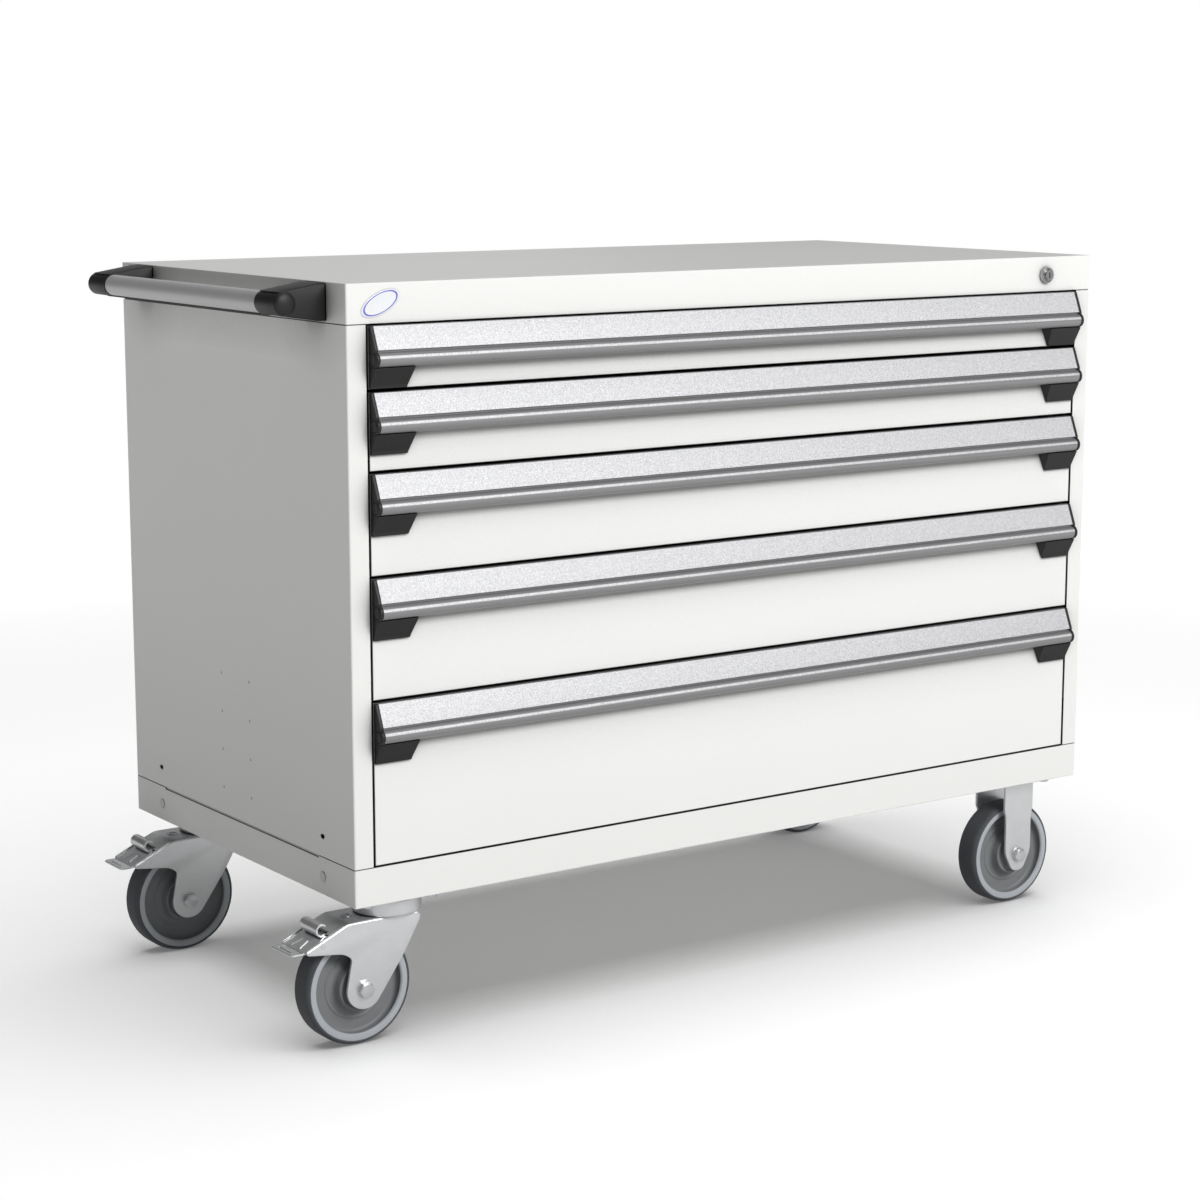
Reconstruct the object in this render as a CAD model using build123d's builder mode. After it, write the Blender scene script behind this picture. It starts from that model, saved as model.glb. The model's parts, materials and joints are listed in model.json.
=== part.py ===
from build123d import *
import os
from math import acos, atan2, cos, degrees, hypot, radians, sin

# Mobile drawer cabinet on four casters: a folded steel housing, five drawers on telescopic
# slides, full-width extruded drawer handles, a push handle on the left end, a central lock,
# two swivel casters with brakes on the left and two rigid casters on the right.
# Millimetres, +Z up, front towards -Y, floor at z = 0.

# ---------------------------------------------------------------- housing
cabinet_width = 1219.2
cabinet_depth = 609.6
body_height = 762.0
caster_height = 190.5
sheet = 1.5
cap_height = 48.8
base_height = 48.8
seam = 1.2
lap = 7.0
edge_radius = 2.5
flange_width = 26.4
return_depth = 14.0
base_floor = 2.0
back_lap_border = 30.0

# ---------------------------------------------------------------- drawers
drawer_pitches = (79.4, 98.1, 127.3, 152.7)
drawer_gap = 3.8
drawer_side_gap = 3.3
front_thickness = 18.0
front_round = 1.0
drawer_sheet = 1.2
drawer_length = 540.0
box_lift = 4.0
box_drop = 12.0
slide_height = 45.7
slide_thickness = 12.7
slide_gauge = 1.3
slide_play = 0.3
slide_lift = 2.0
ball_gap = 2.4
middle_slide_trim = 30.0
post_width = 40.0
post_gauge = 1.5
post_spacing = 380.0
post_shift = 40.0

# ---------------------------------------------------------------- drawer handles
handle_reach = 15.5
label_height = 28.5
label_top_reach = 4.0
groove_depth = 3.0
groove_height = 2.3
groove_slope = 0.8
nose_radius = 9.0
nose_wall = 2.5
nose_reach = 20.5
back_plate = 2.0
label_wall = 2.2
label_hollow_drop = 7.1
back_plate_height = 46.0
end_cap_thickness = 4.5
end_cap_proud = 0.8
gusset_length = 46.0
gusset_flare = 12.0
gusset_drop = 21.0
gusset_lip = 4.0
gusset_height = 75.0
boss_radius = 5.0
boss_height = 0.8

# ---------------------------------------------------------------- lock
lock_inset = 87.0
lock_drop = 25.5
bezel_radius = 11.5
bezel_reach = 6.0
bezel_taper = 6.0
barrel_radius = 9.5
barrel_length = 12.0
plug_radius = 7.45
plug_clearance = 0.05
plug_reach = 8.5
crank_radius = 11.0
crank_thickness = 3.0
pin_offset = 8.0
pin_radius = 2.0
pin_length = 8.0
slot_clearance = 0.5
slot_border = 3.5
key_turn = 90.0
lock_bar_gauge = 2.5
lock_bar_width = 16.0
hook_height = 8.0
hook_clearance = 2.0
catch_height = 8.0
catch_gauge = 3.0
catch_gap = 1.5
catch_reach = 8.5
hook_tip_gap = 3.2
sheet_hole_clearance = 0.2
keyway_width = 2.0
keyway_height = 8.0
keyway_depth = 5.0

# ---------------------------------------------------------------- push handle
push_standoff = 56.4
push_drop = 24.5
push_radius = 13.5
push_collar = 1.0
bracket_inner = 208.0
bracket_width = 50.0
bracket_height = 44.0
bracket_flat = 10.0
dome_height = 6.0
socket_depth = 16.0
strip_width = 6.0
strip_sink = 1.2
strip_height = 2.6
handle_screw_radius = 3.0
handle_screw_length = 14.0
handle_screw_spacing = 22.0
screw_head_radius = 5.5
screw_head_height = 3.0

# ---------------------------------------------------------------- casters
wheel_radius = 75.0
tread_width = 38.0
tread_thickness = 6.0
tread_round = 4.5
rim_width = 36.0
rim_thickness = 7.5
web_thickness = 8.0
hub_radius = 30.0
hub_width = 44.0
hub_cap_radius = 18.0
fork_outer = 64.0
fork_gauge = 4.0
sleeve_radius = 9.0
bore_clearance = 0.05
axle_radius = 6.0
axle_clearance = 0.05
nut_flats = 18.0
nut_height = 7.5
nut_turn = 12.0
caster_inset_x = 80.6
caster_inset_y = 62.8
trail = 51.0
plate_length = 114.3
plate_width = 101.6
plate_gauge = 4.0
bolt_spacing_x = 92.1
bolt_spacing_y = 66.7
caster_bolt_radius = 4.8
bolt_hole_clearance = 0.4
bolt_head_flats = 14.3
bolt_head_height = 6.0
doubler_gauge = 5.0
doubler_margin = 8.0
fork_top = 164.0
head_radius = 44.0
head_wall = 2.5
head_floor = 6.0
race_radius = 39.5
race_bore = 30.0
race_gap = 1.0
kingpin_radius = 8.0
kingpin_nut_radius = 12.0
kingpin_nut_height = 8.0
leg_end_radius = 25.0
crotch_radius = 11.0
tip_undercut = 4.8
fork_back_height = 10.6
pedal_gauge = 3.0
pedal_play = 1.0
pedal_pivot_x = -58.0
pedal_pivot_z = 140.0
pedal_pin_radius = 3.0
pedal_lip_reach = 100.5
pedal_lip_round = 6.0
pedal_slot = (30.0, 4.0)
pedal_slot_setback = 10.6
pedal_travel = 12.0
pedal_gap = 1.5
hood_stop_gap = 6.0
curl_radius = 8.5
curl_width = 42.0
curl_mouth = (13.6, 11.0)
shoe_slant = 4.4
shoe_radius = 4.0
shoe_clearance = 0.5
hood_slope_run = 61.4
hood_slope_drop = 27.4
hood_break_x = -22.5
fork_back_x = 80.8
brow_heel = (57.4, 37.6)
brow_under = (-27.5, 50.5)
crotch = (-17.5, 42.0)
rigid_leg_width = 55.0
rigid_leg_waist = 49.0
rigid_waist_z = 140.0
rigid_tip_width = 24.5
rigid_tip_round = 8.0

# ---------------------------------------------------------------- trims
plug_head_radius = 6.0
plug_head_height = 1.0
plug_shank_radius = 3.5
plug_shank_length = 5.0
screw_fit = 0.05
plug_spacing = 451.0
base_plug_height = 23.9
access_hole_height = 75.4
access_hole_length = 10.0
access_hole_width = 6.0
seam_slot_length = 430.0
seam_slot_height = 2.4
mark_spacing = 77.0
mark_pitch = 51.2
mark_start = 36.6
mark_radius = 1.8
mark_depth = 0.5
mark_rows = 4
badge_length = 57.0
badge_height = 25.4
badge_tilt = 25.0
badge_gauge = 1.2
badge_inset = 46.7
badge_drop = 24.4

# ---------------------------------------------------------------- levels and places
body_top = caster_height + body_height
panel_low = caster_height + base_height
panel_high = body_top - cap_height
opening_half = cabinet_width / 2 - flange_width
front_half = opening_half - drawer_side_gap
box_half = opening_half - slide_thickness - slide_play
half_width = cabinet_width / 2
half_depth = cabinet_depth / 2

swivel_x = -(half_width - caster_inset_x)
caster_y = half_depth - caster_inset_y
rigid_x = -swivel_x
swivel_axle_x = swivel_x - trail

push_axis_x = -(half_width + push_standoff)
push_axis_z = body_top - push_drop

# The frame's origin is on the floor under the middle of the whole object's box, so the
# cabinet's own centre stands a little off it.
left_reach = max(-swivel_axle_x + pedal_lip_reach, -push_axis_x + push_radius + push_collar)
right_reach = half_width + plug_head_height
front_reach = half_depth + nose_reach + end_cap_proud
cabinet_x = (left_reach - right_reach) / 2
cabinet_y = (front_reach - half_depth) / 2
centre = (cabinet_x, cabinet_y, 0)

# Three planes through the cabinet's centre on the floor. The front view's sketches are in
# (x, z) and extrude towards the front; the side view's are in (y, z) and extrude to the right.
plan = Plane(origin=centre, x_dir=(1, 0, 0), z_dir=(0, 0, 1))
front_view = Plane(origin=centre, x_dir=(1, 0, 0), z_dir=(0, -1, 0))
side_view = Plane(origin=centre, x_dir=(0, 1, 0), z_dir=(1, 0, 0))

os.makedirs("parts", exist_ok=True)


def write(piece, name):
    """Label a finished piece and write its STEP file."""
    piece.part.label = name
    export_step(piece.part, f"parts/{name}.step")


# ---------------------------------------------------------------- top cap
cap_low = panel_high + seam / 2
lock_x = half_width - lock_inset
lock_z = body_top - lock_drop
return_half = opening_half - drawer_side_gap
handle_screw_y = bracket_inner + bracket_width / 2
handle_screw_spots = [
    (side * handle_screw_y, push_axis_z + shift * handle_screw_spacing / 2)
    for side in (-1, 1)
    for shift in (-1, 1)
]

with BuildPart() as top_cap:
    with BuildSketch(plan.offset(cap_low)):
        Rectangle(cabinet_width, cabinet_depth)
    extrude(amount=body_top - cap_low)
    fillet(top_cap.edges().filter_by(Axis.Z), edge_radius)
    fillet(top_cap.faces().sort_by(Axis.Z)[-1].edges(), edge_radius / 2)
    with BuildSketch(plan.offset(cap_low)):
        Rectangle(cabinet_width - 2 * sheet, cabinet_depth - 2 * sheet)
    extrude(amount=body_top - cap_low - sheet, mode=Mode.SUBTRACT)
    with BuildSketch(plan.offset(cap_low)):
        with Locations((0, -(half_depth - return_depth / 2))):
            Rectangle(2 * return_half, return_depth)
    extrude(amount=sheet)
    with BuildSketch(front_view.offset(half_depth)):
        with Locations((lock_x, lock_z)):
            Circle(barrel_radius + sheet_hole_clearance)
    extrude(amount=-2 * sheet, mode=Mode.SUBTRACT)
    with BuildSketch(side_view.offset(-half_width)):
        with Locations(*handle_screw_spots):
            Circle(handle_screw_radius + sheet_hole_clearance)
    extrude(amount=2 * sheet, mode=Mode.SUBTRACT)
write(top_cap, "top_cap")


# ---------------------------------------------------------------- side panels
def side_panel(side):
    """One folded side: a C in plan with a front and a rear flange, and lap strips that
    stand inside the cap above and the base below. side is -1 for left, +1 for right."""
    low = panel_low + seam / 2
    high = panel_high - seam / 2
    outer_x = side * half_width
    with BuildPart() as panel:
        with BuildSketch(plan.offset(low)):
            with Locations((outer_x - side * flange_width / 2, 0)):
                Rectangle(flange_width, cabinet_depth)
            with Locations((outer_x - side * (flange_width + sheet) / 2, 0)):
                Rectangle(flange_width - sheet, cabinet_depth - 2 * sheet, mode=Mode.SUBTRACT)
        extrude(amount=high - low)
        corners = panel.edges().filter_by(Axis.Z).sort_by(Axis.X)
        outer_corners = corners[:2] if side < 0 else corners[-2:]
        fillet(outer_corners, edge_radius)
        for start, end in ((low - lap, low + lap), (high - lap, high + lap)):
            with BuildSketch(plan.offset(start)):
                with Locations((outer_x - side * 1.5 * sheet, 0)):
                    Rectangle(sheet, cabinet_depth - 4 * sheet)
                with Locations((outer_x - side * (flange_width + sheet) / 2, 1.5 * sheet - half_depth)):
                    Rectangle(flange_width - sheet, sheet)
            extrude(amount=end - start)
        with BuildSketch(side_view.offset(outer_x)):
            with Locations(*[(y * plug_spacing / 2, caster_height + access_hole_height) for y in (-1, 1)]):
                SlotOverall(access_hole_length, access_hole_width)
        extrude(amount=-side * 3 * sheet, mode=Mode.SUBTRACT)
        with BuildSketch(side_view.offset(outer_x)):
            with Locations(
                *[
                    (y * mark_spacing / 2, caster_height + base_height + mark_start + k * mark_pitch)
                    for y in (-1, 1)
                    for k in range(mark_rows)
                ]
            ):
                Circle(mark_radius)
        extrude(amount=-side * mark_depth, mode=Mode.SUBTRACT)
    return panel


write(side_panel(-1), "left_side_panel")
write(side_panel(1), "right_side_panel")

# ---------------------------------------------------------------- back panel
back_half = half_width - flange_width - seam
back_low = panel_low + seam / 2
back_high = panel_high - seam / 2
back_middle = (back_low + back_high) / 2
lap_half = half_width - 2 * sheet
lap_height = back_high - back_low + 2 * lap

with BuildPart() as back_panel:
    with BuildSketch(front_view.offset(-half_depth)):
        with Locations((0, back_middle)):
            Rectangle(2 * back_half, back_high - back_low)
    extrude(amount=sheet)
    with BuildSketch(front_view.offset(-half_depth + sheet)):
        with Locations((0, back_middle)):
            Rectangle(2 * lap_half, lap_height)
            Rectangle(
                2 * (back_half - back_lap_border),
                back_high - back_low - 2 * back_lap_border,
                mode=Mode.SUBTRACT,
            )
    extrude(amount=sheet)
write(back_panel, "back_panel")

# ---------------------------------------------------------------- base frame
base_high = panel_low - seam / 2
bolt_spots = [
    (x + a * bolt_spacing_x / 2, y + b * bolt_spacing_y / 2)
    for x in (swivel_x, rigid_x)
    for y in (-caster_y, caster_y)
    for a in (-1, 1)
    for b in (-1, 1)
]
plug_spots = [(y * plug_spacing / 2, caster_height + base_plug_height) for y in (-1, 1)]

with BuildPart() as base_frame:
    with BuildSketch(plan.offset(caster_height)):
        Rectangle(cabinet_width, cabinet_depth)
    extrude(amount=base_high - caster_height)
    fillet(base_frame.edges().filter_by(Axis.Z), edge_radius)
    fillet(base_frame.faces().sort_by(Axis.Z)[0].edges(), edge_radius / 2)
    with BuildSketch(plan.offset(caster_height + base_floor)):
        Rectangle(cabinet_width - 2 * sheet, cabinet_depth - 2 * sheet)
    extrude(amount=base_high - caster_height, mode=Mode.SUBTRACT)
    with BuildSketch(plan.offset(base_high)):
        with Locations((0, -(half_depth - return_depth / 2))):
            Rectangle(2 * return_half, return_depth)
    extrude(amount=-sheet)
    with BuildSketch(plan.offset(caster_height)):
        with Locations(*bolt_spots):
            Circle(caster_bolt_radius + bolt_hole_clearance)
    extrude(amount=base_floor, mode=Mode.SUBTRACT)
    for side in (-1, 1):
        with BuildSketch(side_view.offset(side * half_width)):
            with Locations(*plug_spots):
                Circle(plug_shank_radius + screw_fit)
            with Locations((0, base_high - seam_slot_height / 2)):
                Rectangle(seam_slot_length, seam_slot_height)
        extrude(amount=-side * sheet, mode=Mode.SUBTRACT)
write(base_frame, "base_frame")

# Steel doublers on the base floor spread each caster's load.
with BuildPart() as caster_doublers:
    with BuildSketch(plan.offset(caster_height + base_floor)):
        with Locations(*[(x, y) for x in (swivel_x, rigid_x) for y in (-caster_y, caster_y)]):
            Rectangle(plate_length + 2 * doubler_margin, plate_width + 2 * doubler_margin)
        with Locations(*bolt_spots):
            Circle(caster_bolt_radius + bolt_hole_clearance, mode=Mode.SUBTRACT)
    extrude(amount=doubler_gauge)
write(caster_doublers, "caster_doublers")

# Push-in plugs in the base rail's sides.
with BuildPart() as base_plugs:
    for side in (-1, 1):
        with BuildSketch(side_view.offset(side * half_width)):
            with Locations(*plug_spots):
                Circle(plug_head_radius)
        extrude(amount=side * plug_head_height)
        with BuildSketch(side_view.offset(side * half_width)):
            with Locations(*plug_spots):
                Circle(plug_shank_radius)
        extrude(amount=-side * plug_shank_length)
write(base_plugs, "base_plugs")

# ---------------------------------------------------------------- slide posts
post_depth = half_width - sheet - opening_half
post_low = panel_low + seam / 2 + lap + seam
post_high = panel_high - seam / 2 - lap - seam

with BuildPart() as slide_posts:
    for side in (-1, 1):
        for along in (-1, 1):
            post_y = along * post_spacing / 2 - post_shift
            with BuildSketch(plan.offset(post_low)):
                with Locations((side * (opening_half + post_depth / 2), post_y)):
                    Rectangle(post_depth, post_width)
                with Locations((side * (opening_half + (post_depth + post_gauge) / 2), post_y)):
                    Rectangle(post_depth - post_gauge, post_width - 2 * post_gauge, mode=Mode.SUBTRACT)
            extrude(amount=post_high - post_low)
write(slide_posts, "slide_posts")

# ---------------------------------------------------------------- drawer levels
# Each drawer's space, from the top down; the bottom drawer takes what is left.
opening_height = panel_high - panel_low
pitches = (*drawer_pitches, opening_height - sum(drawer_pitches))
drawer_tops = [panel_high - sum(pitches[:k]) for k in range(len(pitches))]
drawer_lows = [top - pitch for top, pitch in zip(drawer_tops, pitches)]
box_back = drawer_length - (half_depth - front_thickness)
slide_front = half_depth - front_thickness
middle_height = slide_height - 2 * slide_gauge - 2 * ball_gap
inner_height = middle_height - 2 * slide_gauge - 2 * ball_gap
fixed_web_x = opening_half
middle_web_x = fixed_web_x - slide_gauge - slide_play
inner_web_x = box_half
middle_lip = slide_thickness - 4 * slide_gauge - slide_play
inner_lip = middle_web_x - slide_gauge - slide_play - inner_web_x
hook_y = half_depth - front_thickness - catch_gap
catch_y = hook_y - lock_bar_gauge - catch_gap


def slide_axis_z(low):
    """Height of a drawer's slides above the floor, from its opening's lower edge."""
    return low + drawer_gap / 2 + box_lift + slide_lift + slide_height / 2


def channel(web_x, inward, height, lip, length_from, length_to, level):
    """A C-section slide member: its web's outer face at web_x, lips inward, along Y."""
    with BuildSketch(front_view.offset(length_from)) as section:
        with Locations((web_x + inward * lip / 2, level)):
            Rectangle(lip, height)
        with Locations((web_x + inward * (lip + slide_gauge) / 2, level)):
            Rectangle(lip - slide_gauge, height - 2 * slide_gauge, mode=Mode.SUBTRACT)
    extrude(section.sketch, amount=length_to - length_from)


# The fixed members stay on the posts, five on each side.
with BuildPart() as cabinet_slides:
    for side in (-1, 1):
        for low in drawer_lows:
            channel(
                side * fixed_web_x,
                -side,
                slide_height,
                slide_thickness - 3 * slide_gauge,
                -box_back,
                slide_front - slide_gauge,
                slide_axis_z(low),
            )
write(cabinet_slides, "cabinet_slides")


# ---------------------------------------------------------------- drawers
def drawer_box(low, high):
    """A drawer's welded box: a deep folded front pan and an open tray behind it, with a
    lock catch on its right side."""
    front_low = low + drawer_gap / 2
    front_high = high - drawer_gap / 2
    box_low = front_low + box_lift
    box_high = front_high - box_drop
    pan_back = half_depth - front_thickness
    catch_low = slide_axis_z(low) + slide_height / 2 + hook_clearance
    with BuildPart() as box:
        with BuildSketch(front_view.offset(pan_back)):
            with Locations((0, (front_low + front_high) / 2)):
                Rectangle(2 * front_half, front_high - front_low)
        extrude(amount=front_thickness)
        fillet(box.faces().sort_by(Axis.Y)[0].edges(), front_round)
        with BuildSketch(front_view.offset(pan_back + drawer_sheet)):
            with Locations((0, (front_low + front_high) / 2)):
                Rectangle(2 * (front_half - drawer_sheet), front_high - front_low - 2 * drawer_sheet)
        extrude(amount=front_thickness - 2 * drawer_sheet, mode=Mode.SUBTRACT)
        with BuildSketch(plan.offset(box_low)):
            with Locations((0, (box_back - pan_back) / 2)):
                Rectangle(2 * box_half, box_back + pan_back)
        extrude(amount=box_high - box_low)
        with BuildSketch(plan.offset(box_low + drawer_sheet)):
            with Locations((0, (box_back - pan_back) / 2)):
                Rectangle(2 * (box_half - drawer_sheet), box_back + pan_back - 2 * drawer_sheet)
        extrude(amount=box_high - box_low, mode=Mode.SUBTRACT)
        with BuildSketch(plan.offset(catch_low)):
            with Locations((box_half + catch_reach / 2, -(catch_y - catch_gauge / 2))):
                Rectangle(catch_reach, catch_gauge)
        extrude(amount=catch_height)
    return box


def handle_profile(top):
    """The handle extrusion's section in (y, z): a sloping label face over a groove and a
    round nose, open behind the nose for the fingers. Forward is negative y."""
    face = -half_depth
    nose_z = top - label_height - groove_height - nose_radius
    nose_y = face - nose_reach + nose_radius
    ledge_z = top - label_height - groove_height
    Polygon(
        (face, top),
        (face - label_top_reach, top),
        (face - handle_reach, top - label_height),
        (face - handle_reach + groove_depth, top - label_height - groove_slope),
        (face - handle_reach + groove_depth, ledge_z),
        (face - handle_reach + groove_depth, ledge_z - nose_wall),
        (face, ledge_z - nose_wall),
        align=None,
    )
    with Locations((face - back_plate / 2, top - back_plate_height / 2)):
        Rectangle(back_plate, back_plate_height)
    with Locations((nose_y, nose_z)):
        Circle(nose_radius)
        Circle(nose_radius - nose_wall, mode=Mode.SUBTRACT)
    with Locations(((face - back_plate + nose_y) / 2, nose_z - nose_wall)):
        Rectangle(face - back_plate - nose_y, 2 * nose_radius - nose_wall, mode=Mode.SUBTRACT)
    rise = (handle_reach - label_top_reach) / label_height
    upper = label_hollow_drop
    lower = label_height - label_wall
    Polygon(
        (face - back_plate, top - upper),
        (face - label_top_reach - rise * upper + label_wall, top - upper),
        (face - label_top_reach - rise * lower + label_wall, top - lower),
        (face - back_plate, top - lower),
        align=None,
        mode=Mode.SUBTRACT,
    )


def handle_outline(top, proud):
    """The handle section's filled outer shape in (y, z), grown by proud on its front."""
    face = -half_depth
    nose_z = top - label_height - groove_height - nose_radius
    nose_y = face - nose_reach + nose_radius
    Polygon(
        (face, top),
        (face - label_top_reach - proud, top),
        (face - handle_reach - proud, top - label_height),
        (nose_y, nose_z - nose_radius - proud),
        (face, nose_z - nose_radius - proud),
        align=None,
    )
    with Locations((nose_y, nose_z)):
        Circle(nose_radius + proud)


def drawer_handle(top):
    """The aluminium extrusion across the drawer front, between its end caps."""
    with BuildPart() as handle:
        with BuildSketch(side_view.offset(-(front_half - end_cap_thickness))):
            handle_profile(top)
        extrude(amount=2 * (front_half - end_cap_thickness))
    return handle


def end_caps(top):
    """Both plastic end caps: a plate over the extrusion's end, a round boss on its nose and
    a flared gusset under it against the drawer front."""
    face = -half_depth
    nose_z = top - label_height - groove_height - nose_radius
    nose_y = face - nose_reach + nose_radius
    gusset_top = nose_z - nose_radius - end_cap_proud
    gusset_low = top - gusset_height
    inner_edge = front_half - end_cap_thickness - gusset_length
    with BuildPart() as caps:
        for side in (-1, 1):
            with BuildSketch(side_view.offset(side * front_half)):
                handle_outline(top, end_cap_proud)
            extrude(amount=-side * end_cap_thickness)
            with BuildSketch(side_view.offset(side * front_half)):
                Polygon(
                    (face, gusset_top),
                    (face - handle_reach, gusset_top),
                    (face - gusset_lip, gusset_top - gusset_drop),
                    (face - gusset_lip, gusset_low),
                    (face, gusset_low),
                    align=None,
                )
            extrude(amount=-side * (end_cap_thickness + gusset_length))
            with BuildSketch(front_view.offset(half_depth)):
                Polygon(
                    (side * inner_edge, gusset_top),
                    (side * (inner_edge - gusset_flare), gusset_top),
                    (side * inner_edge, gusset_low),
                    align=None,
                )
            with BuildSketch(front_view.offset(half_depth + gusset_lip)):
                Polygon(
                    (side * inner_edge, gusset_top),
                    (side * (inner_edge - gusset_flare / 2), gusset_top),
                    (side * inner_edge, gusset_low),
                    align=None,
                )
            loft()
            with BuildSketch(side_view.offset(side * (front_half - boss_height))):
                with Locations((nose_y, nose_z)):
                    Circle(boss_radius)
            extrude(amount=side * boss_height)
    return caps


def drawer_slides(low):
    """The two members screwed to the drawer's sides."""
    with BuildPart() as slides:
        for side in (-1, 1):
            channel(
                side * inner_web_x, side, inner_height, inner_lip, -box_back, slide_front - slide_gauge,
                slide_axis_z(low),
            )
    return slides


def middle_slides(low):
    """The two middle members, which travel half as far as the drawer."""
    with BuildPart() as slides:
        for side in (-1, 1):
            channel(
                side * middle_web_x, -side, middle_height, middle_lip, -box_back + middle_slide_trim,
                slide_front - slide_gauge, slide_axis_z(low),
            )
    return slides


for number, (low, high) in enumerate(zip(drawer_lows, drawer_tops), start=1):
    handle_top = high - drawer_gap / 2
    write(drawer_box(low, high), f"drawer_{number}_box")
    write(drawer_handle(handle_top), f"drawer_{number}_handle")
    write(end_caps(handle_top), f"drawer_{number}_end_caps")
    write(drawer_slides(low), f"drawer_{number}_slides")
    write(middle_slides(low), f"drawer_{number}_middle_slides")

# ---------------------------------------------------------------- lock
with BuildPart() as lock_barrel:
    with BuildSketch(front_view.offset(half_depth)):
        with Locations((lock_x, lock_z)):
            Circle(bezel_radius)
    extrude(amount=bezel_reach, taper=bezel_taper)
    with BuildSketch(front_view.offset(half_depth)):
        with Locations((lock_x, lock_z)):
            Circle(barrel_radius)
    extrude(amount=-barrel_length)
    with BuildSketch(front_view.offset(half_depth - barrel_length)):
        with Locations((lock_x, lock_z)):
            Circle(plug_radius + plug_clearance)
    extrude(amount=barrel_length + bezel_reach, mode=Mode.SUBTRACT)
write(lock_barrel, "lock_barrel")

pin_rise = pin_offset * sin(radians(key_turn / 2))
crank_back = half_depth - barrel_length - slot_clearance
with BuildPart() as lock_plug:
    with BuildSketch(front_view.offset(half_depth + plug_reach)):
        with Locations((lock_x, lock_z)):
            Circle(plug_radius)
    extrude(amount=-(plug_reach + barrel_length + slot_clearance))
    with BuildSketch(front_view.offset(half_depth + plug_reach)):
        with Locations((lock_x, lock_z)):
            Rectangle(keyway_width, keyway_height)
    extrude(amount=-keyway_depth, mode=Mode.SUBTRACT)
    with BuildSketch(front_view.offset(crank_back)):
        with Locations((lock_x, lock_z)):
            Circle(crank_radius)
    extrude(amount=-crank_thickness)
    with BuildSketch(front_view.offset(crank_back - crank_thickness)):
        with Locations((lock_x + pin_rise, lock_z + pin_rise)):
            Circle(pin_radius)
    extrude(amount=-pin_length)
write(lock_plug, "lock_plug")

# The bar hangs behind the right flange with one hook for each drawer; its arm crosses the
# header to the crank pin, which works in a slot. Turning the key a quarter lowers the bar.
arm_z = lock_z + pin_rise
bar_inner = opening_half + hook_clearance
slot_middle = lock_x + (pin_rise + pin_offset) / 2
slot_length = pin_offset - pin_rise + 2 * (pin_radius + slot_clearance)
arm_inner = slot_middle - slot_length / 2 - slot_border
slot_height = 2 * (pin_radius + slot_clearance)
arm_half = slot_height / 2 + lock_bar_gauge
lowest_catch = slide_axis_z(drawer_lows[-1]) + slide_height / 2 + hook_clearance
bar_low = lowest_catch + catch_height + hook_clearance
with BuildPart() as lock_bar:
    with BuildSketch(front_view.offset(hook_y)):
        with Locations((bar_inner + lock_bar_width / 2, (bar_low + arm_z + arm_half) / 2)):
            Rectangle(lock_bar_width, arm_z + arm_half - bar_low)
        with Locations(((arm_inner + bar_inner + lock_bar_width) / 2, arm_z)):
            Rectangle(bar_inner + lock_bar_width - arm_inner, 2 * arm_half)
        with Locations((slot_middle, arm_z)):
            Rectangle(slot_length, slot_height, mode=Mode.SUBTRACT)
        for low in drawer_lows:
            hook_low = slide_axis_z(low) + slide_height / 2 + 2 * hook_clearance + catch_height
            hook_inner = box_half + hook_tip_gap
            with Locations(((hook_inner + bar_inner + lock_bar_width) / 2, hook_low + hook_height / 2)):
                Rectangle(bar_inner + lock_bar_width - hook_inner, hook_height)
    extrude(amount=-lock_bar_gauge)
write(lock_bar, "lock_bar")

# A plain badge plate at the header's left end.
with BuildPart() as badge_plate:
    with BuildSketch(front_view.offset(half_depth)):
        with Locations((-half_width + badge_inset, body_top - badge_drop)):
            Ellipse(badge_length / 2, badge_height / 2, rotation=badge_tilt)
    extrude(amount=badge_gauge)
    fillet(badge_plate.faces().sort_by(Axis.Y)[0].edges(), badge_gauge / 2)
write(badge_plate, "badge_plate")

# ---------------------------------------------------------------- push handle
collar_radius = push_radius + push_collar


# Moulded brackets: a tall foot on the cap's side tapers out to a collar that holds the
# tube, with a domed end.
rise = bracket_height / 2
lean = atan2(rise, push_standoff - bracket_flat)
touch = lean + acos(collar_radius / hypot(push_standoff - bracket_flat, rise))
touch_x = collar_radius * cos(touch)
touch_z = collar_radius * sin(touch)
dome_ball = (collar_radius**2 + dome_height**2) / (2 * dome_height)

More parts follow.
